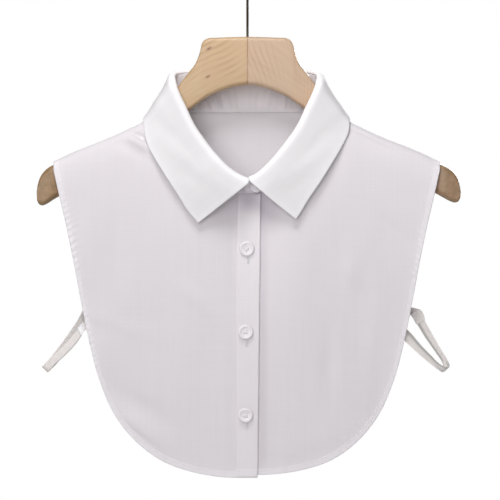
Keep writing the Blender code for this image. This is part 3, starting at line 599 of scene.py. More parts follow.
def pucker(run, away, phase):
    """The small gathers that a hem's stitching draws up, fading into the cloth."""
    wave = np.sin(2 * math.pi * run / PUCKER_PITCH + 1.3 * np.sin(run / 11.0 + phase) + phase)
    return wave * (0.65 + 0.35 * np.sin(run / 17.0 + 2.1 * phase)) * np.exp(-away / PUCKER_REACH)


def cloth_piece(name, points, thickness, flat, double_and_painted_light, material):
    """A closed wall of cloth about a grid of points, in millimetres, with a soft rim.

    flat is where each point lay on the flat cloth. The tone mask rises where the cloth is doubled and where a highlight
    is painted, and falls below 0 where shade is painted.
    """
    rows, columns = points.shape[:2]
    normals = grid_normals(points)
    over = points + normals * thickness[..., None] / 2
    under = points - normals * thickness[..., None] / 2
    border = [(0, j) for j in range(columns)] + [(i, columns - 1) for i in range(1, rows)]
    border += [(rows - 1, j) for j in range(columns - 2, -1, -1)] + [(i, 0) for i in range(rows - 2, 0, -1)]
    rim = []
    for i, j in border:
        inner = points[min(max(i, 1), rows - 2), min(max(j, 1), columns - 2)]
        outward = points[i, j] - inner
        rim.append(points[i, j] + outward / max(np.linalg.norm(outward), 1e-9) * thickness[i, j] * 0.3)
    vertices = np.concatenate([over.reshape(-1, 3), under.reshape(-1, 3), np.array(rim)])
    count = rows * columns

    def index(i, j):
        return i * columns + j

    faces = []
    for i in range(rows - 1):
        for j in range(columns - 1):
            square = (index(i, j), index(i + 1, j), index(i + 1, j + 1), index(i, j + 1))
            faces.append(square)
            faces.append(tuple(count + k for k in reversed(square)))
    for k in range(len(border)):
        after = (k + 1) % len(border)
        here, there = index(*border[k]), index(*border[after])
        rim_here, rim_there = 2 * count + k, 2 * count + after
        faces.append((here, there, rim_there, rim_here))
        faces.append((rim_here, rim_there, count + there, count + here))
    item = new_piece(name, vertices, faces, material)
    spots = np.concatenate([flat.reshape(-1, 2), flat.reshape(-1, 2), [flat[i, j] for i, j in border]]) * MM
    masks = np.concatenate([double_and_painted_light.ravel(), double_and_painted_light.ravel(), [double_and_painted_light[i, j] for i, j in border]])
    mesh = item.data
    corners = np.empty(len(mesh.loops), np.int32)
    mesh.loops.foreach_get("vertex_index", corners)
    layer = mesh.uv_layers.new(name="flat")
    layer.uv.foreach_set("vector", spots[corners].ravel().astype(np.float32))
    mask = mesh.attributes.new("double_and_painted_light", "FLOAT", "POINT")
    mask.data.foreach_set("value", masks.astype(np.float32))
    return item


def plain_weave_group():
    """Warp over weft: Height of the threads, and Slub, the uneven thickness of the yarn."""
    tree, given, result = new_group(
        "plain_weave",
        (("Vector", "NodeSocketVector", None), ("Thread Pitch", "NodeSocketFloat", 0.0004)),
        (("Height", "NodeSocketFloat"), ("Slub", "NodeSocketFloat")),
    )
    parts = add_node(tree, "ShaderNodeSeparateXYZ", Vector=given["Vector"])
    waves = []
    for way in ("X", "Y"):
        turns = add_node(tree, "ShaderNodeMath", {"operation": "DIVIDE"}, _0=parts.outputs[way], _1=given["Thread Pitch"])
        angle = add_node(tree, "ShaderNodeMath", {"operation": "MULTIPLY"}, _0=turns.outputs[0], _1=math.pi)
        waves.append(add_node(tree, "ShaderNodeMath", {"operation": "SINE"}, _0=angle.outputs[0]))
    crossing = add_node(tree, "ShaderNodeMath", {"operation": "MULTIPLY"}, _0=waves[0].outputs[0], _1=waves[1].outputs[0])
    height = add_node(tree, "ShaderNodeMapRange", Value=crossing.outputs[0], From_Min=-1.0, From_Max=1.0)
    warp = add_node(tree, "ShaderNodeMapping", Vector=given["Vector"], Scale=(520.0, 14.0, 1.0))
    warp_noise = add_node(tree, "ShaderNodeTexNoise", Vector=warp.outputs[0], Scale=1.0, Detail=2.0)
    weft = add_node(tree, "ShaderNodeMapping", Vector=given["Vector"], Scale=(16.0, 640.0, 1.0))
    weft_noise = add_node(tree, "ShaderNodeTexNoise", Vector=weft.outputs[0], Scale=1.0, Detail=2.0)
    broad = add_node(tree, "ShaderNodeMapping", Vector=given["Vector"], Scale=(110.0, 3.0, 1.0))
    broad_noise = add_node(tree, "ShaderNodeTexNoise", Vector=broad.outputs[0], Scale=1.0, Detail=3.0, Roughness=0.7)
    slub = add_node(tree, "ShaderNodeMath", {"operation": "ADD"}, _0=warp_noise.outputs["Fac"], _1=weft_noise.outputs["Fac"])
    streaks = add_node(tree, "ShaderNodeMath", {"operation": "ADD"}, _0=slub.outputs[0], _1=broad_noise.outputs["Fac"])
    half = add_node(tree, "ShaderNodeMath", {"operation": "MULTIPLY"}, _0=streaks.outputs[0], _1=0.3333)
    tree.links.new(height.outputs[0], result["Height"])
    tree.links.new(half.outputs[0], result["Slub"])
    return tree


PAINTED_SHADE_TINT = (0.68, 0.645, 0.70)


def cloth_material(name, colour, double_and_highlight_colour, weave_depth=0.00005):
    """White shirting, lighter where it is doubled and where a highlight is painted, and darker where shade is painted.
    """
    material, shader = new_material(name, colour, 0.85)
    tree = material.node_tree
    flat = add_node(tree, "ShaderNodeUVMap", {"uv_map": "flat"}).outputs[0]
    weave = add_node(tree, "ShaderNodeGroup", {"node_tree": PLAIN_WEAVE}, Vector=flat)
    mask = add_node(tree, "ShaderNodeAttribute", {"attribute_name": "double_and_painted_light"})
    whole = add_node(tree, "ShaderNodeMix", {"data_type": "RGBA"}, _0=mask.outputs["Fac"],
                     _6=(*colour, 1.0), _7=(*double_and_highlight_colour, 1.0))
    # Painted shade where the mask falls below 0.
    painted_shade_share = add_node(tree, "ShaderNodeMapRange", Value=mask.outputs["Fac"], From_Min=0.0, From_Max=-1.0)
    dimmed = add_node(tree, "ShaderNodeMix", {"data_type": "RGBA", "blend_type": "MULTIPLY"}, _0=painted_shade_share.outputs[0],
                      _6=whole.outputs[2], _7=(*PAINTED_SHADE_TINT, 1.0))
    shade = add_node(tree, "ShaderNodeMapRange", Value=weave.outputs["Slub"], From_Min=0.3, From_Max=0.7,
                     To_Min=0.0, To_Max=0.34)
    streaked = add_node(tree, "ShaderNodeMix", {"data_type": "RGBA", "blend_type": "MULTIPLY"}, _0=shade.outputs[0],
                        _6=dimmed.outputs[2], _7=(0.87, 0.865, 0.875, 1.0))
    tree.links.new(streaked.outputs[2], shader.inputs["Base Color"])
    slub_bump = add_node(tree, "ShaderNodeBump", Strength=0.35, Distance=0.00012, Height=weave.outputs["Slub"])
    bump = add_node(tree, "ShaderNodeBump", Strength=0.3, Distance=weave_depth, Height=weave.outputs["Height"],
                    Normal=slub_bump.outputs[0])
    tree.links.new(bump.outputs[0], shader.inputs["Normal"])
    shader.inputs["Sheen Weight"].default_value = 0.12
    shader.inputs["Sheen Roughness"].default_value = 0.6
    shader.inputs["Specular IOR Level"].default_value = 0.25
    return material


def stitch_tree():
    """Stitches laid along a path: short round threads, each turned to the path."""
    tree = bpy.data.node_groups.new("stitch_row", "GeometryNodeTree")
    sockets = {}
    for socket_name, socket_type, value in (
        ("Path", "NodeSocketGeometry", None),
        ("Stitch Pitch", "NodeSocketFloat", 0.0026),
        ("Stitch Length", "NodeSocketFloat", 0.002),
        ("Thread Radius", "NodeSocketFloat", 0.00014),
        ("Turn", "NodeSocketFloat", 0.0),
        ("Unevenness", "NodeSocketFloat", 0.06),
        ("Seed", "NodeSocketInt", 7),
        ("Facing", "NodeSocketVector", (0.0, -1.0, 0.0)),
        ("Thread", "NodeSocketMaterial", None),
    ):
        socket = tree.interface.new_socket(socket_name, in_out="INPUT", socket_type=socket_type)
        if value is not None:
            socket.default_value = value
        sockets[socket_name] = socket.identifier
    tree.interface.new_socket("Stitches", in_out="OUTPUT", socket_type="NodeSocketGeometry")
    given = tree.nodes.new("NodeGroupInput").outputs
    result = tree.nodes.new("NodeGroupOutput").inputs
    line = add_node(tree, "GeometryNodeMeshToCurve", Mesh=given["Path"])
    spots = add_node(tree, "GeometryNodeResampleCurve", {"mode": "LENGTH"}, Curve=line.outputs[0],
                     Length=given["Stitch Pitch"])
    tangent = add_node(tree, "GeometryNodeInputTangent")
    along = add_node(tree, "FunctionNodeAlignRotationToVector", {"axis": "X"}, Vector=tangent.outputs[0])
    facing = add_node(tree, "FunctionNodeAlignRotationToVector", {"axis": "Z", "pivot_axis": "X"},
                      Rotation=along.outputs[0], Vector=given["Facing"])
    low = add_node(tree, "ShaderNodeMath", {"operation": "SUBTRACT"}, _0=given["Turn"], _1=given["Unevenness"])
    high = add_node(tree, "ShaderNodeMath", {"operation": "ADD"}, _0=given["Turn"], _1=given["Unevenness"])
    jitter = add_node(tree, "FunctionNodeRandomValue", {"data_type": "FLOAT"}, Seed=given["Seed"])
    tree.links.new(low.outputs[0], jitter.inputs[2])
    tree.links.new(high.outputs[0], jitter.inputs[3])
    swing = add_node(tree, "ShaderNodeCombineXYZ", Z=jitter.outputs[1])
    turned = add_node(tree, "FunctionNodeRotateRotation", {"rotation_space": "LOCAL"},
                      Rotation=facing.outputs[0], Rotate_By=swing.outputs[0])
    half = add_node(tree, "ShaderNodeMath", {"operation": "MULTIPLY"}, _0=given["Stitch Length"], _1=0.5)
    size = add_node(tree, "ShaderNodeCombineXYZ", X=half.outputs[0], Y=given["Thread Radius"], Z=given["Thread Radius"])
    bead = add_node(tree, "GeometryNodeMeshUVSphere", Segments=6, Rings=5, Radius=1.0)
    laid = add_node(tree, "GeometryNodeInstanceOnPoints", Points=spots.outputs[0], Instance=bead.outputs[0],
                    Rotation=turned.outputs[0], Scale=size.outputs[0])
    real = add_node(tree, "GeometryNodeRealizeInstances", Geometry=laid.outputs[0])
    smooth = add_node(tree, "GeometryNodeSetShadeSmooth", Geometry=real.outputs[0])
    dyed = add_node(tree, "GeometryNodeSetMaterial", Geometry=smooth.outputs[0], Material=given["Thread"])
    tree.links.new(dyed.outputs[0], result[0])
    return tree, sockets


def stitch_row(name, path, slot="cloth", thread=None, **values):
    """A row of stitches along a path of points, made a plain mesh. Values are the tree's inputs."""
    mesh = bpy.data.meshes.new(name)
    edges = [(i, i + 1) for i in range(len(path) - 1)]
    mesh.from_pydata((np.array(path) * MM).tolist(), edges, [])
    guide = bpy.data.objects.new(f"{name}_path", mesh)
    bpy.context.scene.collection.objects.link(guide)
    modifier = guide.modifiers.new("stitches", "NODES")
    modifier.node_group = STITCH_TREE
    for key, value in values.items():
        modifier[STITCH_SOCKETS[key.replace("_", " ")]] = value
    modifier[STITCH_SOCKETS["Thread"]] = thread or THREAD
    seen = guide.evaluated_get(bpy.context.evaluated_depsgraph_get())
    plain = bpy.data.meshes.new_from_object(seen)
    bpy.data.objects.remove(guide, do_unlink=True)
    item = bpy.data.objects.new(name, plain)
    plain.name = name
    bpy.context.scene.collection.objects.link(item)
    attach(item, "root")
    return item


def surface_path(points, normals, side_of_cloth, lift):
    """A line of a grid's points, moved out of the cloth by lift millimetres."""
    return points + normals * side_of_cloth * lift


PLAIN_WEAVE = plain_weave_group()
STITCH_TREE, STITCH_SOCKETS = stitch_tree()
CLOTH_COLOUR = (0.765, 0.725, 0.755)
DOUBLE_AND_HIGHLIGHT_COLOUR = (0.84, 0.80, 0.835)
cloth_white = cloth_material("shirting_white", CLOTH_COLOUR, DOUBLE_AND_HIGHLIGHT_COLOUR)
THREAD, thread_shader = new_material("thread_white", (0.83, 0.815, 0.84), 0.7)
thread_tree = THREAD.node_tree
thread_place = add_node(thread_tree, "ShaderNodeTexCoord").outputs["Object"]
thread_twist = add_node(thread_tree, "ShaderNodeTexNoise", Vector=thread_place, Scale=2600.0, Detail=1.0)
thread_bump = add_node(thread_tree, "ShaderNodeBump", Strength=0.3, Distance=0.00005, Height=thread_twist.outputs["Fac"])
thread_tree.links.new(thread_bump.outputs[0], thread_shader.inputs["Normal"])
shoulder_line = curve_through(SHOULDER_LINE)

BACK_CREASES = (
    (-58.0, -190.0, 62.0, 60.0, 9.0, 0.9),
    (42.0, -230.0, 97.0, 80.0, 12.0, -0.8),
    (84.0, -205.0, 118.0, 46.0, 8.0, 0.7),
    (-102.0, -268.0, 84.0, 70.0, 10.0, -0.7),
    (8.0, -350.0, 88.0, 60.0, 14.0, 0.8),
    (96.0, -352.0, 72.0, 48.0, 10.0, 0.6),
    (-60.0, -392.0, 30.0, 40.0, 9.0, -0.5),
)
HEM_STITCH_AWAY = 4.4
HEM_PAINTED_LIGHT_REACH = 4.5


def bib_relief(points, away, run, phase, rows, outward):
    """How far the cloth moves out of its surface for creases and for the hem's gathers."""
    from_arm = np.minimum(run, run[-1:] - run) if outward > 0 else run
    relief = CREASE_SHARPNESS * creases(points, rows) * smooth_step(0.0, 14.0, away) * smooth_step(7.0, 16.0, from_arm)
    on_side_edge = 0.35 + 0.65 * smooth_step(-390.0, -300.0, points[..., 2])
    return relief + PUCKER_HEIGHT * on_side_edge * pucker(run, away, phase)


def hem_thickness(away):
    turned = 1.0 - smooth_step(HEM_WIDTH - 0.6, HEM_WIDTH + 0.3, away)
    # The turned hem is lighter for being doubled, and a painted highlight runs along the cut edge and fades inwards.
    light = 0.45 * turned + 1.1 * np.exp(-away / HEM_PAINTED_LIGHT_REACH)
    return SINGLE_CLOTH + (HEM_CLOTH - SINGLE_CLOTH) * turned, light


def panel_flat(points, u):
    """Where the panel's points lay before it was hung: its warp runs up and down."""
    rolled_over = np.maximum(0.0, 1.0 - u / PANEL_ROLL_SHARE) * SHOULDER_ROLL * 0.6
    return np.stack((points[..., 0], points[..., 2] + rolled_over), axis=-1)


def hem_stitches(name, points, away, facing):
    """The hem's row of stitches, on the cloth's outer face."""
    normals = grid_normals(points)
    if np.mean(normals[..., 1]) * facing < 0:
        normals = -normals
    nearest = np.argmin(np.abs(away - HEM_STITCH_AWAY), axis=1)
    rows = np.arange(len(points))
    path = points[rows, nearest] + normals[rows, nearest] * (HEM_CLOTH / 2 + 0.05)
    return stitch_row(name, path, Facing=(0.0, float(facing), 0.0))


half_u, half_v, half_away = panel_grid(back_panel_surface(1))
left_back = back_panel_surface(1)(half_u, half_v)
right_back = back_panel_surface(-1)(half_u, half_v)
back_points = np.concatenate([right_back, left_back[-2::-1]], axis=0)
back_u = np.concatenate([half_u, half_u[-2::-1]], axis=0)
back_away = np.concatenate([half_away, half_away[-2::-1]], axis=0)
back_normals = grid_normals(back_points)
back_out = np.sign(np.mean(back_normals[..., 1]))
back_run = along_lengths(back_points)
back_relief = bib_relief(back_points, back_away, back_run, 0.4, BACK_CREASES, 1)
back_points = back_points + back_normals * (back_out * back_relief)[..., None]
back_thickness, back_double_and_painted_light = hem_thickness(back_away)
back = cloth_piece("back_cloth", back_points, back_thickness, panel_flat(back_points, back_u), back_double_and_painted_light, cloth_white)
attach(back, "root")
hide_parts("back")
back_stitches = hem_stitches("back_hem_stitches", back_points, back_away, 1)

# The fronts: the same shirting. The wearer's right laps over the left, and both
# have the narrow stitched hem round the open side and the bottom.
FRONT_LAP = 12.1
FRONT_LAP_AT_HEM = 9.3
UNDER_LAP = 9.5
UNDER_HEM_LIFT = 2.6
FRONT_MIDDLE_Y = -22.0
HEM_LIFT_REACH = 110.0
RIGHT_FRONT_CREASES = (
    (-98.0, -147.0, -32.0, 17.0, 2.6, -2.0),
    (-100.0, -152.5, -30.0, 18.0, 3.4, 1.6),
    (-104.0, -160.0, -34.0, 22.0, 5.0, -0.6),
    (-46.0, -293.0, -38.0, 24.0, 6.0, 0.8),
    (-112.0, -318.0, -16.0, 34.0, 6.0, 0.7),
    (-96.0, -268.0, 90.0, 90.0, 13.0, 0.5),
    (-118.0, -250.0, 86.0, 80.0, 9.0, -0.4),
    (-120.0, -318.0, 4.0, 20.0, 9.0, -0.6),
    (-98.0, -408.0, -33.0, 26.0, 7.0, 1.5),
    (-92.0, -391.0, -33.0, 30.0, 8.0, -1.2),
    (-36.0, -360.0, 80.0, 60.0, 12.0, -0.4),
)
LEFT_FRONT_CREASES = (
    (116.0, -146.0, -21.0, 28.0, 3.2, 1.1),
    (118.0, -153.0, -21.0, 26.0, 4.5, -1.5),
    (108.0, -157.0, -26.0, 22.0, 5.0, -0.5),
    (73.0, -355.0, 91.0, 34.0, 7.0, -1.0),
    (90.5, -272.0, -52.0, 14.0, 5.0, 0.7),
    (96.0, -262.0, 72.0, 34.0, 9.0, 0.5),
    (132.0, -232.0, -40.0, 22.0, 6.0, -0.5),
    (44.0, -280.0, 92.0, 90.0, 14.0, 0.4),
    (112.0, -330.0, 84.0, 44.0, 8.0, 0.5),
    (60.0, -420.0, 12.0, 34.0, 9.0, 0.5),
)


def front_panel_surface(side, lap, hem_lap, hem_lift):
    """A front that laps past the centre. Its hem is lifted by hem_lift at the centre."""
    neck_rows = [shoulder_roll_end(0.0, -1)]
    for row in COLLAR_STATIONS[FRONT_NECK_FIRST_ROW:]:
        station = dict(zip(COLLAR_COLUMNS, row))
        fold, seam = np.array(station["fold"]), np.array(station["seam"])
        neck_rows.append(tuple(seam + (seam - fold) / np.linalg.norm(seam - fold) * SEAM_GAP))
    neck_rows.append((-lap, seam[1], seam[2] - SEAM_GAP))
    side_rows = []
    for row in SIDE_AND_HEM:
        spot = dict(zip(SIDE_COLUMNS, row))
        lift = hem_lift * (1 - smooth_step(0.0, HEM_LIFT_REACH, spot["x"]))
        side_rows.append((spot["x"], spot["front_y"], spot["z"] + lift))
    side_rows[0] = shoulder_roll_end(1.0, -1)
    side_rows.append((-hem_lap, side_rows[-1][1], side_rows[-1][2]))
    neck_end, hem_end = neck_rows[-1], side_rows[-1]
    middle = (-(lap + hem_lap) / 2, FRONT_MIDDLE_Y, (neck_end[2] + hem_end[2]) / 2)
    return panel_surface(side, -1, neck_rows, side_rows, (neck_end, middle, hem_end))


front_right_surface = front_panel_surface(-1, FRONT_LAP, FRONT_LAP_AT_HEM, 0.0)
front_left_surface = front_panel_surface(1, UNDER_LAP, UNDER_LAP, UNDER_HEM_LIFT)
RECESS_DEPTH = 13.5
RECESS_PLACE = (1.5, -206.0)
RECESS_HALF_WIDTH = 33.0
RECESS_HALF_HEIGHTS = (15.0, 74.0)
# Where shade is painted on the cloth round the collar's closing: x, z, half width, half height and strength.
PAINTED_SHADE_PLACES = (
    (1.5, -203.0, 13.0, 15.0, 0.97),
    (-22.0, -216.0, 15.0, 17.0, 0.35),
    (20.0, -214.0, 10.0, 15.0, 0.45),
)
CLOSED_FRONT_Y = -8.0
SHOULDER_EASE = 3.6
SHOULDER_EASE_LENGTH = 13.0
SHOULDER_EASE_FADE = 110.0
SHOULDER_ROLL_LENGTH = 9.0


def closing_recess(points):
    """How far the cloth sinks back just under the collar's closing, where the leaves shade it."""
    right = (points[..., 0] - RECESS_PLACE[0]) / RECESS_HALF_WIDTH
    up = points[..., 2] - RECESS_PLACE[1]
    up = up / np.where(up > 0, *RECESS_HALF_HEIGHTS)
    return RECESS_DEPTH * np.exp(-(right**2) - up**2) * (points[..., 1] < CLOSED_FRONT_Y)


def painted_closing_shade(points):
    """How much shade is painted on the cloth round the collar's closing."""
    shade = np.zeros(points.shape[:-1])
    for x, z, half_width, half_height, strength in PAINTED_SHADE_PLACES:
        right, up = (points[..., 0] - x) / half_width, (points[..., 2] - z) / half_height
        shade += strength * np.exp(-(right**2) - up**2)
    return shade * (points[..., 1] < CLOSED_FRONT_Y)


def shoulder_ease(run, v):
    """The cloth leaves the arm at a slant and comes upright lower down."""
    below = np.maximum(run - SHOULDER_ROLL_LENGTH, 0.0)
    eased = (1 - np.exp(-below / SHOULDER_EASE_LENGTH)) * np.exp(-below / SHOULDER_EASE_FADE)
    return SHOULDER_EASE * eased * smooth_step(0.0, 0.35, v)


PLACKET_EDGE_X = 13.0
PLACKET_SHADE_WIDTH = 5.0
PLACKET_SHADE = 0.3
FRONTS = (
    ("front_right", front_right_surface, RIGHT_FRONT_CREASES, 1.7, 0.45, (0.1847, 0.3415), 0.0440),
    ("front_left", front_left_surface, LEFT_FRONT_CREASES, 4.1, -0.3, (0.1822, 0.3390), 0.0435),
)
for front_name, front_surface, front_rows, front_phase, front_settle, front_flat, front_area in FRONTS:
    front_u, front_v, front_away = panel_grid(front_surface)
    front_points = front_surface(front_u, front_v)
    front_normals = grid_normals(front_points)
    front_out = -np.sign(np.mean(front_normals[..., 1]))
    front_run = along_lengths(front_points)
    front_relief = bib_relief(front_points, front_away, front_run, front_phase, front_rows, -1)
    front_relief = front_relief + shoulder_ease(front_run, front_v)
    near_lap = 1.0 - smooth_step(12.0, 30.0, np.abs(front_points[..., 0]))
    front_relief = front_relief * (1.0 - 0.85 * near_lap)
    front_points = front_points + front_normals * (front_out * front_relief)[..., None]
    front_points[..., 1] += closing_recess(front_points) + front_settle * (1.0 - smooth_step(11.0, 20.0, np.abs(front_points[..., 0])))
    front_thickness, front_double_and_painted_light = hem_thickness(front_away)
    # Painted shade under the collar's closing.
    front_double_and_painted_light = front_double_and_painted_light - painted_closing_shade(front_points)
    # Painted shadow on the left front beside the right front's lapping edge.
    if front_surface is front_left_surface:
        beside = np.exp(-(((front_points[..., 0] - PLACKET_EDGE_X) / PLACKET_SHADE_WIDTH) ** 2))
        front_double_and_painted_light = front_double_and_painted_light - PLACKET_SHADE * beside
    spots = panel_flat(front_points, front_u)
    front = cloth_piece(f"{front_name}_cloth", front_points, front_thickness, spots, front_double_and_painted_light, cloth_white)
    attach(front, "root")
    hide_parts(front_name)
    front_stitches = hem_stitches(f"{front_name}_hem_stitches", front_points, front_away, -1)

# The placket: a turned band, doubled and edge-stitched on the right front, with an
# upright buttonhole, worked in close stitches, under each button.
PLACKET_TOP_WIDTH = 20.2
PLACKET_HEM_WIDTH = 19.0
PLACKET_PROUD = 0.3
PLACKET_TOP_Z = -199.2
PLACKET_BOTTOM_Z = -452.6
PLACKET_ROWS = 150
PLACKET_COLUMNS = 24
PLACKET_CLOTH = 1.0
PLACKET_LAYER = 0.6
PLACKET_HEM = 7.0
BAND_PAINTED_SHADE = 1.6
BUTTON_PLACES = (
    ("button_1", 0.1, -248.6),
    ("button_2", -0.9, -322.9),
    ("button_3", -1.1, -397.2),
)
BUTTONHOLE_ABOVE = 1.0
BUTTONHOLE_BELOW = 13.2
BUTTONHOLE_HALF_WIDTH = 0.5
EDGE_STITCH_IN = 1.1


def depth_on(surface, x, z):
    """The depth of a panel's middle surface at places x and z, found by Newton's method."""
    u, v = np.full_like(x, 0.7), np.full_like(x, 0.6)
    step = 0.002
    for _ in range(14):
        here = surface(u, v)
        by_u = (here - surface(u - step, v)) / step
        by_v = (here - surface(u, v - step)) / step
        miss_x, miss_z = x - here[..., 0], z - here[..., 2]
        cross = by_u[..., 0] * by_v[..., 2] - by_v[..., 0] * by_u[..., 2]
        u = np.clip(u + (miss_x * by_v[..., 2] - miss_z * by_v[..., 0]) / cross, 0.2, 1.0)
        v = np.clip(v + (by_u[..., 0] * miss_z - by_u[..., 2] * miss_x) / cross, 0.004, 1.0)
    return surface(u, v)[..., 1]


def sunk(points):
    """The points moved back with the cloth under the collar's closing."""
    return points + closing_recess(points)[..., None] * np.array((0.0, 1.0, 0.0))


def placket_points(fall, across):
    """The band's middle surface, fall from neck to hem and across from inner to lapping edge."""
    z = PLACKET_TOP_Z + (PLACKET_BOTTOM_Z - PLACKET_TOP_Z) * fall
    edge_x = FRONT_LAP + (FRONT_LAP_AT_HEM - FRONT_LAP) * fall
    width = PLACKET_TOP_WIDTH + (PLACKET_HEM_WIDTH - PLACKET_TOP_WIDTH) * fall
    x = edge_x + PLACKET_PROUD - width * (1 - across)
    depth = depth_on(front_right_surface, np.minimum(x, edge_x) + CLOTH_CENTRE_X, z) - PLACKET_LAYER
    return sunk(np.stack((x + CLOTH_CENTRE_X, depth, z), axis=-1))


band_fall, band_across = np.meshgrid(
    np.linspace(0.0, 1.0, PLACKET_ROWS + 1), np.linspace(0.0, 1.0, PLACKET_COLUMNS + 1), indexing="ij")
band_points = placket_points(band_fall, band_across)
band_edge = np.minimum(band_across, 1 - band_across) * PLACKET_TOP_WIDTH
band_ease = 0.16 * np.sin(band_points[..., 2] / 9.0) * np.exp(-band_edge / 3.0)
for _, button_x, button_z in BUTTON_PLACES:
    near = ((band_points[..., 0] - button_x) / 9.0) ** 2 + ((band_points[..., 2] - button_z) / 12.0) ** 2
    band_ease -= 0.3 * np.exp(-near)
band_thickness = PLACKET_CLOTH - 0.45 * (1 - smooth_step(0.0, 1.6, band_edge))
band_points[..., 1] -= band_ease
band_flat = np.stack((band_points[..., 0], band_points[..., 2]), axis=-1)
band_from_hem = band_points[..., 2] - PLACKET_BOTTOM_Z
band_turned = 1 - smooth_step(PLACKET_HEM - 0.5, PLACKET_HEM + 0.5, band_from_hem)
band_thickness = band_thickness + 0.25 * band_turned
band_double_and_painted_shade = 0.55 + 0.75 * band_turned * np.ones(band_fall.shape)
# The placket is doubled, and shade is painted on it under the collar's closing.
band_double_and_painted_shade = band_double_and_painted_shade - BAND_PAINTED_SHADE * painted_closing_shade(band_points)
placket = cloth_piece("placket_cloth", band_points, band_thickness, band_flat, band_double_and_painted_shade, cloth_white)
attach(placket, "root")
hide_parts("placket")
band_face = PLACKET_CLOTH / 2 + 0.05
for edge_name, edge_share in (("inner", EDGE_STITCH_IN / PLACKET_TOP_WIDTH), ("lapping", 1 - EDGE_STITCH_IN / PLACKET_TOP_WIDTH)):
    falls = np.linspace(0.004, 0.996, PLACKET_ROWS)
    edge_path = placket_points(falls, np.full_like(falls, edge_share)) - np.array((0.0, band_face, 0.0))
    stitch_row(f"placket_{edge_name}_stitches", edge_path)
hem_across = np.linspace(0.05, 0.95, 12)
hem_fall = np.full_like(hem_across, 1 - (PLACKET_HEM - 1.2) / (PLACKET_TOP_Z - PLACKET_BOTTOM_Z))
hem_path = placket_points(hem_fall, hem_across) - np.array((0.0, band_face + 0.15, 0.0))
stitch_row("placket_hem_stitches", hem_path)
for button_name, button_x, button_z in BUTTON_PLACES:
    for hole_side in (-1, 1):
        hole_z = np.linspace(button_z + BUTTONHOLE_ABOVE, button_z - BUTTONHOLE_BELOW, 12)
        hole_x = np.full_like(hole_z, button_x + hole_side * BUTTONHOLE_HALF_WIDTH + 0.4)
        depth = depth_on(front_right_surface, hole_x, hole_z) - PLACKET_LAYER - band_face
        hole_path = sunk(np.stack((hole_x, depth, hole_z), axis=-1))
        stitch_row(
            f"buttonhole_{button_name[-1]}_{'left' if hole_side > 0 else 'right'}", hole_path,
            Stitch_Pitch=0.00045, Stitch_Length=0.0013, Thread_Radius=0.0002, Turn=math.pi / 2, Unevenness=0.12)

# The buttons: pearly white resin, turned with a rounded rim and a sunk middle with
# four holes, and sewn on with white thread.
BUTTON_RADIUS = 6.8
BUTTON_RISE = 0.34
NECK_BUTTON_RADIUS = 5.2
NECK_BUTTON_LEAN = -20.0
NECK_BUTTON_PLACE = (8.3, -24.6, -193.4)
BUTTON_PROFILE = (
    (0.0, 0.72),
    (0.3, 0.72),
    (0.5, 0.735),
    (0.57, 0.77),
    (0.64, 0.87),
    (0.70, 0.96),
    (0.76, 1.0),
    (0.83, 0.99),
    (0.90, 0.92),
    (0.96, 0.78),
    (1.0, 0.56),
    (0.99, 0.34),
    (0.94, 0.14),
    (0.84, 0.04),
    (0.4, 0.0),
    (0.0, 0.0),
)
BUTTON_SIDES = 72
BUTTON_SPINS = {"button_1": 42.0, "button_2": 3.0, "button_3": -4.0, "button_neck": 12.0}
BUTTON_HOLE_RADIUS = 0.72
BUTTON_HOLE_SPACING = 2.36
BUTTON_THREAD_RADIUS = 0.4


def button_resin():
    material, shader = new_material("button_resin", (0.86, 0.85, 0.87), 0.28)
    tree = material.node_tree
    place = add_node(tree, "ShaderNodeTexCoord").outputs["Object"]
    cloud = add_node(tree, "ShaderNodeTexNoise", Vector=place, Scale=260.0, Detail=3.0, Distortion=1.2)
    tint = add_node(tree, "ShaderNodeMix", {"data_type": "RGBA"}, _0=cloud.outputs["Fac"],
                    _6=(0.79, 0.75, 0.785, 1.0), _7=(0.87, 0.83, 0.865, 1.0))
    tree.links.new(tint.outputs[2], shader.inputs["Base Color"])
    polish = add_node(tree, "ShaderNodeMapRange", Value=cloud.outputs["Fac"], To_Min=0.2, To_Max=0.38)
    tree.links.new(polish.outputs[0], shader.inputs["Roughness"])
    shader.inputs["Coat Weight"].default_value = 0.3
    shader.inputs["Coat Roughness"].default_value = 0.15
    return material


def button_mesh(name, radius, spin, lean, middle, material):
    """The turned button with its four holes, facing forward and leant, its back at middle."""
    rings = []
    for share, rise in BUTTON_PROFILE[1:-1]:
        turns = np.linspace(0.0, 2 * math.pi, BUTTON_SIDES, endpoint=False)
        rings.append([(share * radius * math.cos(t), share * radius * math.sin(t), rise * BUTTON_RISE * radius)
                      for t in turns])
    item = new_piece(name, *loft(rings), material, 40)
    spacing = BUTTON_HOLE_SPACING / 2 * radius / BUTTON_RADIUS
    for hole_x, hole_y in ((1, 1), (1, -1), (-1, -1), (-1, 1)):
        bore = []
        for level in (-radius, radius):
            turns = np.linspace(0.0, 2 * math.pi, 20, endpoint=False)
            size = BUTTON_HOLE_RADIUS * radius / BUTTON_RADIUS
            bore.append([(hole_x * spacing + size * math.cos(t), hole_y * spacing + size * math.sin(t), level)
                         for t in turns])
        drill = new_piece(f"{name}_drill", *loft(bore), material)
        cut = item.modifiers.new("hole", "BOOLEAN")
        cut.operation = "DIFFERENCE"
        cut.solver = "EXACT"
        cut.object = drill
        seen = item.evaluated_get(bpy.context.evaluated_depsgraph_get())
        drilled = bpy.data.meshes.new_from_object(seen)
        item.modifiers.clear()
        item.data = drilled
        bpy.data.objects.remove(drill, do_unlink=True)
    turn_to_place(item, spin, lean, middle)
    item.data.set_sharp_from_angle(angle=math.radians(40))
    return item


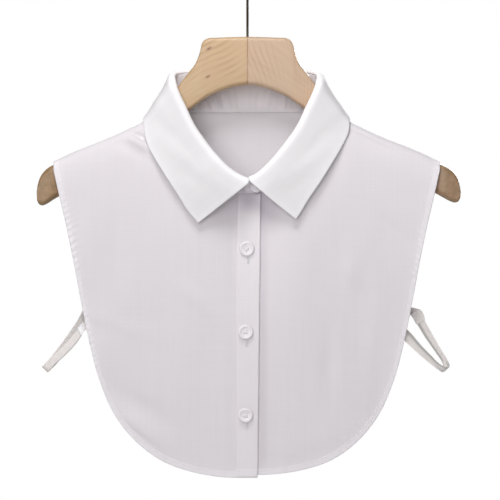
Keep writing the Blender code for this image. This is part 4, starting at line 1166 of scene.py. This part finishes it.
def turn_to_place(item, spin, lean, middle):
    """Moves the mesh itself from lying face up at the origin to its place on the cloth."""
    turn = math.radians(90 + lean)
    spun = math.radians(spin)
    for corner in item.data.vertices:
        x = corner.co.x * math.cos(spun) - corner.co.y * math.sin(spun)
        y = corner.co.x * math.sin(spun) + corner.co.y * math.cos(spun)
        z = corner.co.z
        turned_y = y * math.cos(turn) - z * math.sin(turn)
        turned_z = y * math.sin(turn) + z * math.cos(turn)
        corner.co = Vector((x, turned_y, turned_z)) + Vector(middle) * MM


def button_thread(name, radius, spin, lean, middle):
    """Two bars of thread over the holes, dipping into them."""
    spacing = BUTTON_HOLE_SPACING / 2 * radius / BUTTON_RADIUS
    floor = 0.72 * BUTTON_RISE * radius
    vertices, faces = [], []
    for column in (-1, 1):
        for strand in (-0.3, 0.3):
            x = column * spacing + strand
            route = [
                (x, -spacing, floor - 1.4),
                (x, -spacing * 0.92, floor + 0.1),
                (x, -spacing * 0.4, floor + 0.5),
                (x, spacing * 0.4, floor + 0.5),
                (x, spacing * 0.92, floor + 0.1),
                (x, spacing, floor - 1.4),
            ]
            rings = tube(route, BUTTON_THREAD_RADIUS, 20, 8, np.array((1.0, 0.0, 0.0)), 2)
            tube_vertices, tube_faces = loft(rings)
            faces += [tuple(k + len(vertices) for k in face) for face in tube_faces]
            vertices += tube_vertices
    item = new_piece(name, vertices, faces, THREAD)
    turn_to_place(item, spin, lean, middle)
    return item


resin = button_resin()
buttons = []
for button_name, button_x, button_z in BUTTON_PLACES:
    place_x = np.array([button_x + CLOTH_CENTRE_X])
    depth = depth_on(front_right_surface, place_x, np.array([button_z]))[0] - PLACKET_LAYER - CLOTH_WALL / 2 - SEAM_GAP
    depth += closing_recess(np.array((place_x[0], depth, button_z)))
    buttons.append((button_name, BUTTON_RADIUS, BUTTON_SPINS[button_name], 0.0, (place_x[0], depth, button_z)))
neck_x, neck_y, neck_z = NECK_BUTTON_PLACE
neck_y += closing_recess(np.array(NECK_BUTTON_PLACE))
buttons.append(("button_neck", NECK_BUTTON_RADIUS, BUTTON_SPINS["button_neck"], NECK_BUTTON_LEAN, (neck_x + CLOTH_CENTRE_X, neck_y, neck_z)))
for button_name, button_radius, button_spin, button_lean, button_middle in buttons:
    button = button_mesh(f"{button_name}_resin", button_radius, button_spin, button_lean, button_middle, resin)
    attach(button, "root")
    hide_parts(button_name)
    sewing = button_thread(f"{button_name}_thread", button_radius, button_spin, button_lean, button_middle)
    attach(sewing, "root")

# The collar stand: a doubled, interfaced band that stands round the neck and laps
# at the front. Its inner face creases where the band bends at the back.
COLLAR_ROLL = 1.4
SLOPE_STEP = 0.004
LEAF_FOOT = 0.6
LAP_STEP = 0.6
STAND_READINGS = 22
SEAM_SETBACK = 0.8
NECK_MIDDLE_Y = 2.0
RIGHT_TIP_SHIFT = (-0.6, 0.6, -3.4)
RIGHT_EDGE_OUT = 3.2
RIGHT_FOLD_OUT = 1.4
NECK_BUTTON_LIFT = 3.0
STAND_LAP = (
    ((-5.0, -20.4, -189.4), (-5.0, -23.4, -197.2)),
    ((-9.6, -21.0, -190.6), (-9.6, -23.3, -196.9)),
    ((-12.6, -22.0, -192.8), (-12.4, -22.9, -195.4)),
)
STAND_CLOTH = 1.0
STAND_LAP_DOWN = 1.5
STAND_LAP_IN = 0.95
STAND_FRONT_DOWN = 1.8
STAND_FRONT_OUT = 1.2
STAND_STEPS = 420
STAND_ROWS = 36
WRINKLE_DEPTH = 1.7
STAND_WRINKLES = (
    (-50.0, 34.0, 1.6, 1.0),
    (-44.0, 26.0, 1.5, -0.9),
    (-38.5, 30.0, 1.7, 1.7),
    (-33.0, 24.0, 1.5, -1.2),
    (-27.5, 28.0, 1.6, 1.5),
    (-22.0, 20.0, 1.4, -1.0),
    (-16.5, 14.0, 1.4, 1.0),
    (-8.0, 8.0, 1.6, -0.5),
    (1.0, -4.0, 1.6, 0.5),
    (10.0, -10.0, 2.0, -0.6),
    (20.0, -14.0, 1.6, 0.8),
    (28.0, -18.0, 1.5, -0.7),
    (35.0, -16.0, 1.5, 1.1),
    (42.0, -14.0, 1.5, -0.8),
    (50.0, -18.0, 1.8, 0.9),
)


def flat_rows(table):
    """The table's rows with their points written out as plain numbers."""
    return [[number for cell in row for number in np.ravel(cell)] for row in table]


def unit(vectors):
    return vectors / np.maximum(np.linalg.norm(vectors, axis=-1, keepdims=True), 1e-9)


def collar_frame(side, share):
    """Fold, seam and edge points at shares of the way from centre back to centre front."""
    row = collar_curve(share)
    fold, seam, edge, bulge = row[..., 0:3], row[..., 3:6], row[..., 6:9], row[..., 9]
    near_tip = smooth_step(0.8, 1.0, share)
    if side < 0:
        edge[..., 0] += RIGHT_EDGE_OUT * (smooth_step(0.5, 0.62, share) - smooth_step(0.9, 1.0, share))
        edge += near_tip[..., None] * np.array(RIGHT_TIP_SHIFT)
        fold[..., 0] += RIGHT_FOLD_OUT * (smooth_step(0.1, 0.2, share) - smooth_step(0.85, 0.97, share))
    else:
        bulge = bulge + NECK_BUTTON_LIFT * near_tip
    at_front = share > 0.5
    fold[..., 1] += lap_shift(side, fold[..., 0]) * at_front
    seam[..., 1] += lap_shift(side, seam[..., 0]) * at_front
    return fold, seam, edge, bulge


def roll_frame(share, fold, seam, edge):
    """At the fold: the direction away from both layers, and the one from stand to leaf."""
    along = unit(collar_curve(share + SLOPE_STEP)[..., 0:3] - collar_curve(share - SLOPE_STEP)[..., 0:3])
    up = -unit(unit(seam - fold) + unit(edge - fold))
    outward = unit(np.cross(along, up))
    turned = outward[..., 0] * fold[..., 0] + outward[..., 1] * (fold[..., 1] - NECK_MIDDLE_Y)
    return up, outward * np.where(turned < 0, -1.0, 1.0)[..., None]


def stand_rows(side):
    """Rows of top and bottom points from centre back to the end of the lap."""
    share = np.linspace(0.0, 1.0, STAND_READINGS + 1)
    fold, seam, edge, _ = collar_frame(side, share)
    up, outward = roll_frame(share, fold, seam, edge)
    top = fold - up * (COLLAR_ROLL + LEAF_FOOT + 2 * SEAM_GAP) - outward * COLLAR_ROLL
    bottom = seam + unit(top - seam) * SEAM_SETBACK
    forward = np.array((0.0, side * (LAP_SPACING / 2 + LAP_STEP), 0.0))
    lap_top = np.array([row[0] for row in STAND_LAP]) + forward
    lap_bottom = np.array([row[1] for row in STAND_LAP]) + forward
    tops = on_side(side, np.concatenate([top, lap_top]))
    bottoms = on_side(side, np.concatenate([bottom, lap_bottom]))
    return np.concatenate([tops, bottoms], axis=1).tolist()


collar_curve = curve_through(flat_rows(COLLAR_STATIONS))
round_neck = curve_through(stand_rows(-1)[::-1] + stand_rows(1)[1:])
stand_round, stand_down = np.meshgrid(
    np.linspace(0.0, 1.0, STAND_STEPS + 1), np.linspace(0.0, 1.0, STAND_ROWS + 1), indexing="ij")
stand_edges = round_neck(stand_round)
stand_points = stand_edges[..., 0:3] * (1 - stand_down[..., None]) + stand_edges[..., 3:6] * stand_down[..., None]
stand_height = np.linalg.norm(stand_edges[..., 0:3] - stand_edges[..., 3:6], axis=-1)
stand_run = along_lengths(stand_points)
stand_flat = np.stack((stand_run, -stand_down * stand_height), axis=-1)
stand_normals = grid_normals(stand_points)
stand_mid = len(stand_points) // 2
stand_inward = -np.sign(stand_normals[stand_mid, STAND_ROWS // 2, 1])
stand_relief = np.zeros(stand_round.shape)
for wrinkle_x, wrinkle_slant, wrinkle_width, wrinkle_height in STAND_WRINKLES:
    lean = wrinkle_slant * (stand_down - 0.75) * 0.5
    across = (stand_points[..., 0] - CLOTH_CENTRE_X - wrinkle_x - lean) / wrinkle_width
    behind = smooth_step(4.0, 12.0, stand_points[..., 1])
    reach = smooth_step(0.25, 0.6, stand_down) * (1 - smooth_step(0.86, 0.97, stand_down))
    stand_relief += WRINKLE_DEPTH * wrinkle_height * np.exp(-(across**2)) * behind * reach
stand_points = stand_points + stand_normals * (stand_inward * stand_relief)[..., None]
stand_points[..., 1] += closing_recess(stand_points)
round_share = np.minimum(stand_round, 1 - stand_round)
laps = smooth_step(0.1, 0.2, round_share) * smooth_step(0.8, 1.0, stand_down)
stand_fall = unit(stand_edges[..., 3:6] - stand_edges[..., 0:3])
stand_points = stand_points + stand_fall * (STAND_LAP_DOWN * laps)[..., None]
stand_points = stand_points + stand_normals * (stand_inward * STAND_LAP_IN * laps)[..., None]
front_laps = (1 - smooth_step(0.06, 0.12, round_share)) * smooth_step(0.6, 1.0, stand_down)
stand_points = stand_points + stand_fall * (STAND_FRONT_DOWN * front_laps)[..., None]
stand_points[..., 1] -= STAND_FRONT_OUT * front_laps
stand_rim = np.minimum(stand_down, 1 - stand_down) * stand_height
stand_thickness = STAND_CLOTH - 0.3 * (1 - smooth_step(0.0, 1.2, stand_rim))
collar_white = cloth_material("collar_shirting", (0.79, 0.765, 0.783), (0.95, 0.935, 0.95))
# The stand is doubled; its top edge gets a painted highlight, and shade is painted where it runs under the closing.
stand_top_painted_highlight = np.exp(-stand_down * stand_height / 1.2)
stand = cloth_piece("collar_stand_cloth", stand_points, stand_thickness, stand_flat, 0.2 + stand_top_painted_highlight - painted_closing_shade(stand_points), cloth_white)
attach(stand, "root")
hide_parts("collar_stand")
inner_face = stand_points + stand_normals * stand_inward * (STAND_CLOTH / 2 + 0.04)
seam_row = int(STAND_ROWS * 0.955)
stitch_row("stand_inner_seam_stitches", inner_face[4:-4, seam_row], Facing=(0.0, -1.0, 0.0))
outer_face = stand_points - stand_normals * stand_inward * (STAND_CLOTH / 2 + 0.04)
stitch_row("stand_outer_seam_stitches", outer_face[4:-4, seam_row], Facing=(0.0, -1.0, 0.0))

# The collar leaf: the pointed fall, doubled and turned, rolled over the stand's top
# and falling to its points on the fronts.
LEAF_ROLL_SHARE = 0.3
LEAF_OVER_LAP = 1.7
LEAF_DROP = 2.0
LEAF_REACH = 5.0
OUTER_ROLL = 4.0
OUTER_DROP = 5.2
CLOSING_LIFT = 3.0
LEAF_BOW = -0.2
TIP_SETTLE = 2.3
EDGE_LIGHT = 0.5
EDGE_LIGHT_REACH = 4.0
LEAF_STEPS = 420
LEAF_ROWS = 64
LEAF_CLOTH = 1.0
LEAF_RIPPLES = (
    (-66.0, -146.0, -38.0, 22.0, 7.0, -0.9),
    (-58.0, -166.0, -34.0, 20.0, 6.0, 0.8),
    (-50.0, -186.0, -30.0, 18.0, 6.0, -0.6),
    (-80.0, -120.0, -60.0, 18.0, 6.0, 0.6),
    (66.0, -150.0, 42.0, 22.0, 7.0, -0.8),
    (54.0, -172.0, 34.0, 20.0, 6.0, 0.7),
    (46.0, -192.0, 26.0, 16.0, 5.0, -0.3),
    (82.0, -122.0, 62.0, 18.0, 6.0, 0.3),
)


def leaf_half(side, share, v):
    """The leaf from the stand's top, over the roll and down to its outer edge."""
    fold, seam, edge, bulge = collar_frame(side, share)
    up, outward = roll_frame(share, fold, seam, edge)
    if side < 0:
        fold = fold + outward * (LEAF_OVER_LAP * smooth_step(0.78, 0.86, share))[..., None]
        fold = fold - up * (LEAF_DROP * smooth_step(0.86, 1.0, share))[..., None]
        fold[..., 0] -= LEAF_REACH * smooth_step(0.88, 1.0, share)
    centre = fold - up * COLLAR_ROLL
    turn = (math.pi * np.clip(v / LEAF_ROLL_SHARE, 0.0, 1.0))[..., None]
    foot = (LEAF_FOOT * np.maximum(0.0, 1.0 - 4.0 * v / LEAF_ROLL_SHARE))[..., None]
    over_top = turn > math.pi / 2
    reach = np.where(over_top, OUTER_ROLL, COLLAR_ROLL)
    rise = np.where(over_top, COLLAR_ROLL - OUTER_DROP * (1 - np.sin(turn)), COLLAR_ROLL * np.sin(turn))
    rolled = centre - outward * reach * np.cos(turn) + up * (rise - foot)
    fall = np.clip((v - LEAF_ROLL_SHARE) / (1 - LEAF_ROLL_SHARE), 0.0, 1.0)[..., None]
    start = centre + outward * OUTER_ROLL + up * (COLLAR_ROLL - OUTER_DROP)
    bow = LEAF_BOW * bulge[..., None] * 4 * fall * (1 - fall)
    lift = CLOSING_LIFT * smooth_step(0.7, 0.98, share)[..., None] * smooth_step(0.0, 0.3, fall) * (1.1 - TIP_SETTLE * fall)
    fallen = start + (edge - start) * fall + outward * bow - np.array((0.0, 1.0, 0.0)) * lift
    return on_side(side, np.where((v <= LEAF_ROLL_SHARE)[..., None], rolled, fallen))


leaf_half_shares = np.linspace(0.0, 1.0, LEAF_STEPS // 2 + 1)
leaf_down = np.concatenate([np.linspace(0.0, LEAF_ROLL_SHARE, 25), np.linspace(LEAF_ROLL_SHARE, 1.0, LEAF_ROWS - 15)[1:]])
leaf_share, leaf_v = np.meshgrid(leaf_half_shares, leaf_down, indexing="ij")
leaf_points = np.concatenate([leaf_half(-1, leaf_share, leaf_v)[::-1], leaf_half(1, leaf_share, leaf_v)[1:]], axis=0)
leaf_run = along_lengths(leaf_points)
leaf_fall = along_lengths(leaf_points.transpose(1, 0, 2)).T
leaf_normals = grid_normals(leaf_points)
leaf_mid = len(leaf_points) // 2
leaf_outward = np.sign(leaf_normals[leaf_mid, -6, 1])
on_fall = smooth_step(LEAF_ROLL_SHARE + 0.08, LEAF_ROLL_SHARE + 0.3, np.broadcast_to(leaf_down, leaf_points.shape[:2]))
leaf_relief = creases(leaf_points, LEAF_RIPPLES) * on_fall
leaf_points = leaf_points + leaf_normals * (leaf_outward * leaf_relief)[..., None]
leaf_from_end = np.minimum(leaf_run, leaf_run[-1:] - leaf_run)
leaf_rim = np.minimum(leaf_fall[:, -1:] - leaf_fall, leaf_from_end)
leaf_thickness = LEAF_CLOTH - 0.35 * (1 - smooth_step(0.0, 1.6, leaf_rim))
# Painted highlight along the fold's roll, and a fainter painted highlight along the leaf's edges.
leaf_painted_highlight = 1 - smooth_step(LEAF_ROLL_SHARE - 0.06, LEAF_ROLL_SHARE + 0.07, np.broadcast_to(leaf_down, leaf_points.shape[:2]))
leaf_painted_highlight = leaf_painted_highlight + EDGE_LIGHT * np.exp(-leaf_rim / EDGE_LIGHT_REACH)
leaf_flat = np.stack((leaf_run, -leaf_fall), axis=-1)
leaf = cloth_piece("collar_leaf_cloth", leaf_points, leaf_thickness, leaf_flat, leaf_painted_highlight, collar_white)
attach(leaf, "root")
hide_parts("collar_leaf")

# The side straps: narrow ribbed elastic, each sewn inside the back's edge and the
# front's edge, and bent round in a hairpin where it hangs free.
STRAP_WALL = 0.9
STRAP_STEPS = 460
STRAP_ROWS = 14
RIB_PITCH = 1.25
RIB_HEIGHT = 0.1
LEFT_STRAP = (
    ((147.0, -3.5, -301.0), (141.0, -3.5, -306.0)),
    ((154.2, -4.2, -303.2), (147.6, -4.0, -307.6)),
    ((160.9, -3.0, -315.2), (154.9, -1.0, -318.8)),
    ((167.2, -2.6, -326.4), (161.6, 1.0, -329.6)),
    ((174.6, -3.4, -339.2), (170.4, 1.2, -342.0)),
    ((180.2, -4.8, -348.6), (175.9, -0.6, -350.8)),
    ((182.0, -6.6, -354.2), (177.4, -4.2, -358.6)),
    ((179.2, -8.4, -354.8), (175.0, -9.4, -359.0)),
    ((173.6, -9.0, -352.4), (171.4, -13.6, -356.6)),
    ((164.4, -10.6, -343.6), (161.4, -15.0, -348.9)),
    ((154.8, -12.8, -333.6), (152.2, -16.2, -341.0)),
    ((147.8, -15.0, -325.2), (145.6, -16.8, -334.8)),
    ((141.0, -17.3, -318.6), (139.6, -17.3, -329.6)),
)
RIGHT_STRAP = (
    ((145.0, -3.5, -299.0), (138.6, -3.5, -304.2)),
    ((150.6, -4.2, -310.6), (145.0, -4.0, -315.8)),
    ((158.6, -2.6, -322.8), (153.2, -0.6, -328.2)),
    ((168.2, -1.8, -335.9), (163.2, 1.2, -341.8)),
    ((178.6, -3.6, -349.2), (174.0, -1.6, -355.0)),
    ((183.6, -5.6, -354.6), (178.8, -4.4, -359.2)),
    ((182.6, -7.8, -354.2), (178.0, -7.6, -359.0)),
    ((178.0, -9.6, -348.6), (171.8, -10.6, -352.4)),
    ((169.6, -11.2, -341.0), (162.4, -12.8, -343.6)),
    ((159.2, -12.8, -330.0), (152.6, -15.6, -333.2)),
    ((153.2, -13.6, -323.2), (148.8, -17.0, -327.8)),
    ((146.8, -15.4, -315.4), (145.6, -17.2, -322.2)),
    ((140.0, -17.3, -309.4), (139.6, -17.3, -317.2)),
)
STRAP_ENDS = {
    "strap_left": (7.0, 18.5, 1.0),
    "strap_right": (-14.0, -7.0, 0.4),
}


def strap_end(name, points, lengths, face):
    """The strap's turned-under end: a short second layer, a little wider and lumpy."""
    start, stop, wider = STRAP_ENDS[name]
    middle = lengths[:, STRAP_ROWS // 2]
    if start < 0:
        start, stop = start + middle[-1], stop + middle[-1]
    part = points[(middle > start) & (middle < stop)]
    run = middle[(middle > start) & (middle < stop)] - start
    across = unit(part[:, -1:] - part[:, :1])
    share = np.linspace(-1.0, 1.0, part.shape[1])[None, :, None]
    swell = (wider * np.clip(np.sin(math.pi * run / run[-1]), 0.0, 1.0) ** 0.25 + 0.12 * np.sin(run * 2.3))[:, None, None]
    part = part + across * share * swell
    lump = 0.75 + 0.22 * np.sin(run * 1.1 + 0.6)[:, None] * np.cos(2.2 * share[..., 0])
    return part + face * grid_normals(part) * lump[..., None], run


def elastic_material():
    """Ribbed elastic: cords of rubber along the tape, bound by cross threads."""
    material, shader = new_material("strap_elastic", (0.86, 0.82, 0.80), 0.8)
    tree = material.node_tree
    flat = add_node(tree, "ShaderNodeUVMap", {"uv_map": "flat"}).outputs[0]
    weave = add_node(tree, "ShaderNodeGroup", {"node_tree": PLAIN_WEAVE}, Vector=flat, Thread_Pitch=0.0007)
    parts = add_node(tree, "ShaderNodeSeparateXYZ", Vector=flat)
    turns = add_node(tree, "ShaderNodeMath", {"operation": "MULTIPLY"}, _0=parts.outputs["Y"], _1=2 * math.pi / 0.0011)
    cords = add_node(tree, "ShaderNodeMath", {"operation": "SINE"}, _0=turns.outputs[0])
    # Painted shade in the grooves between the cords.
    groove_shade = add_node(tree, "ShaderNodeMapRange", Value=cords.outputs[0], From_Min=-1.0, From_Max=-0.4, To_Min=0.22, To_Max=0.0)
    # The mask paints shade on the elastic.
    mask = add_node(tree, "ShaderNodeAttribute", {"attribute_name": "double_and_painted_light"})
    face = add_node(tree, "ShaderNodeMix", {"data_type": "RGBA"}, _0=mask.outputs["Fac"],
                    _6=(0.86, 0.81, 0.79, 1.0), _7=(0.56, 0.54, 0.52, 1.0))
    tint = add_node(tree, "ShaderNodeMix", {"data_type": "RGBA"}, _0=groove_shade.outputs[0],
                    _6=face.outputs[2], _7=(0.50, 0.47, 0.45, 1.0))
    tree.links.new(tint.outputs[2], shader.inputs["Base Color"])
    cord_bump = add_node(tree, "ShaderNodeBump", Strength=0.3, Distance=0.00009, Height=cords.outputs[0])
    bump = add_node(tree, "ShaderNodeBump", Strength=0.2, Distance=0.00004, Height=weave.outputs["Height"],
                    Normal=cord_bump.outputs[0])
    tree.links.new(bump.outputs[0], shader.inputs["Normal"])
    return material


def seated_on(panel, corner, away, side):
    """The strap's corner moved to lie just behind (+1) or before (-1) the panel."""
    x, _, z = corner
    clear = CLOTH_WALL / 2 + SEAM_GAP + 0.5
    depth = depth_on(panel, np.array([side * x + CLOTH_CENTRE_X]), np.array([z]))[0]
    return (x, depth + away * clear, z)


elastic_white = elastic_material()
# The elastic is 8 mm wide, and its area says so. A sheet's width starts at 10 mm.
STRAPS = (
    ("strap_left", LEFT_STRAP, 1, front_left_surface, (0.0100, 0.1256), 0.00100),
    ("strap_right", RIGHT_STRAP, -1, front_right_surface, (0.0100, 0.1345), 0.00108),
)
for strap_name, strap_rows, strap_side, strap_front, strap_flat_size, strap_area in STRAPS:
    first = [seated_on(back_panel_surface(strap_side), corner, -1, strap_side) for corner in strap_rows[0]]
    last = [seated_on(strap_front, corner, 1, strap_side) for corner in strap_rows[-1]]
    strap_route = curve_through(flat_rows((first, *strap_rows[1:-1], last)))
    strap_run, strap_across = np.meshgrid(
        np.linspace(0.0, 1.0, STRAP_STEPS + 1), np.linspace(0.0, 1.0, STRAP_ROWS + 1), indexing="ij")
    edges = strap_route(strap_run)
    strap_points = edges[..., 0:3] * (1 - strap_across[..., None]) + edges[..., 3:6] * strap_across[..., None]
    strap_points = on_side(strap_side, strap_points)
    strap_lengths = along_lengths(strap_points)
    strap_width = np.linalg.norm(edges[..., 0:3] - edges[..., 3:6], axis=-1)
    ribs = 0.5 + 0.5 * np.cos(2 * math.pi * strap_lengths[:, STRAP_ROWS // 2][:, None] / RIB_PITCH)
    strap_edge = np.minimum(strap_across, 1 - strap_across) * strap_width
    strap_thickness = (STRAP_WALL - RIB_HEIGHT + RIB_HEIGHT * ribs) * (0.72 + 0.28 * smooth_step(0.0, 0.8, strap_edge))
    strap_flat = np.stack((strap_lengths, -strap_across * strap_width), axis=-1)
    # Painted shade on the elastic: bands along the inside of each hairpin, and a light wash over the right strap's
    # first leg.
    turned_back = smooth_step(0.46, 0.52, strap_run)
    if strap_side > 0:
        strap_shade = (1 - turned_back) * smooth_step(0.58, 0.72, strap_across)
        strap_shade += turned_back * (1 - smooth_step(0.28, 0.42, strap_across))
    else:
        strap_shade = 0.3 * (1 - turned_back) + 0.7 * turned_back * smooth_step(0.82, 0.92, strap_across)
    strap = cloth_piece(f"{strap_name}_elastic", strap_points, strap_thickness, strap_flat, strap_shade, elastic_white)
    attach(strap, "root")
    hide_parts(strap_name)
    toward_view = -1.0 if np.mean(grid_normals(strap_points)[STRAP_STEPS // 8, :, 1]) > 0 else 1.0
    if strap_name == "strap_right":
        toward_view = -1.0 if np.mean(grid_normals(strap_points)[-STRAP_STEPS // 8, :, 1]) > 0 else 1.0
    end_points, end_run = strap_end(strap_name, strap_points, strap_lengths, toward_view)
    end_flat = np.stack(np.broadcast_arrays(end_run[:, None], -strap_across[: len(end_run)] * 8.0), axis=-1)
    strap_tab = cloth_piece(f"{strap_name}_end", end_points, np.full(end_points.shape[:2], 0.7), end_flat,
                            np.full(end_points.shape[:2], 0.0 if strap_side > 0 else 1.0), collar_white if strap_side < 0 else elastic_white)
    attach(strap_tab, "root")
    bar_row = len(end_points) // 2 if strap_side > 0 else len(end_points) - 4
    bar_path = end_points[bar_row] + grid_normals(end_points)[bar_row] * toward_view * 0.4
    strap_bar = stitch_row(f"{strap_name}_end_stitches", bar_path, "elastic", Stitch_Pitch=0.0009,
                           Stitch_Length=0.0016, Thread_Radius=0.00022, Turn=1.2)

# The floor far below, the pale surround and soft studio light from the upper left.
FLOOR_Z = -0.95
floor_mesh = bpy.data.meshes.new("floor")
floor_corners = [(-4.0, -4.0, FLOOR_Z), (4.0, -4.0, FLOOR_Z), (4.0, 4.0, FLOOR_Z), (-4.0, 4.0, FLOOR_Z)]
floor_mesh.from_pydata(floor_corners, [], [(0, 1, 2, 3)])
floor_paint, floor_shader = new_material("floor_pale", (0.86, 0.86, 0.86), 0.9)
floor_seen = add_node(floor_paint.node_tree, "ShaderNodeLightPath")
floor_lift = add_node(floor_paint.node_tree, "ShaderNodeMath", {"operation": "MULTIPLY"},
                      _0=floor_seen.outputs["Is Camera Ray"], _1=0.75)
floor_shader.inputs["Emission Color"].default_value = (1.0, 1.0, 1.0, 1.0)
floor_paint.node_tree.links.new(floor_lift.outputs[0], floor_shader.inputs["Emission Strength"])
floor_mesh.materials.append(floor_paint)
floor = bpy.data.objects.new("floor", floor_mesh)
bpy.context.scene.collection.objects.link(floor)

AMBIENT_STRENGTH = 0.15
world = bpy.data.worlds.new("studio")
bpy.context.scene.world = world
world.use_nodes = True
surround = world.node_tree.nodes["Background"]
surround.inputs["Color"].default_value = (1.0, 1.0, 1.0, 1.0)
seen_by = add_node(world.node_tree, "ShaderNodeLightPath")
glow = add_node(world.node_tree, "ShaderNodeMapRange", Value=seen_by.outputs["Is Camera Ray"],
                To_Min=AMBIENT_STRENGTH, To_Max=1.0)
world.node_tree.links.new(glow.outputs[0], surround.inputs["Strength"])
bpy.context.scene.view_settings.view_transform = "Standard"

LIGHTS = (
    ("key", (-0.1, -0.42, 0.62), 0.35, 5.0),
    ("front", (-0.45, -1.95, 0.25), 1.8, 23.0),
    ("back", (0.7, 1.5, 0.35), 0.8, 20.0),
)
LIGHT_AIM = Vector((0.0, -0.01, -0.24))
for light_name, light_place, light_size, light_watts in LIGHTS:
    lamp = bpy.data.lights.new(light_name, "AREA")
    lamp.shape = "DISK"
    lamp.size = light_size
    lamp.energy = light_watts
    light = bpy.data.objects.new(light_name, lamp)
    light.location = light_place
    light.rotation_euler = (LIGHT_AIM - light.location).to_track_quat("-Z", "Y").to_euler()
    bpy.context.scene.collection.objects.link(light)

# The camera: level, square on and some way off, framed as the photograph is.
CAMERA_AWAY = 3.0
FRAME_WIDTH = 0.45
camera_data = bpy.data.cameras.new("camera")
camera_data.sensor_width = 36.0
camera_data.lens = camera_data.sensor_width * CAMERA_AWAY / FRAME_WIDTH
camera = bpy.data.objects.new("camera", camera_data)
camera.location = (0.00225, -CAMERA_AWAY, -0.2497)
camera.rotation_euler = (math.radians(90), 0.0, 0.0)
bpy.context.scene.collection.objects.link(camera)
bpy.context.scene.camera = camera
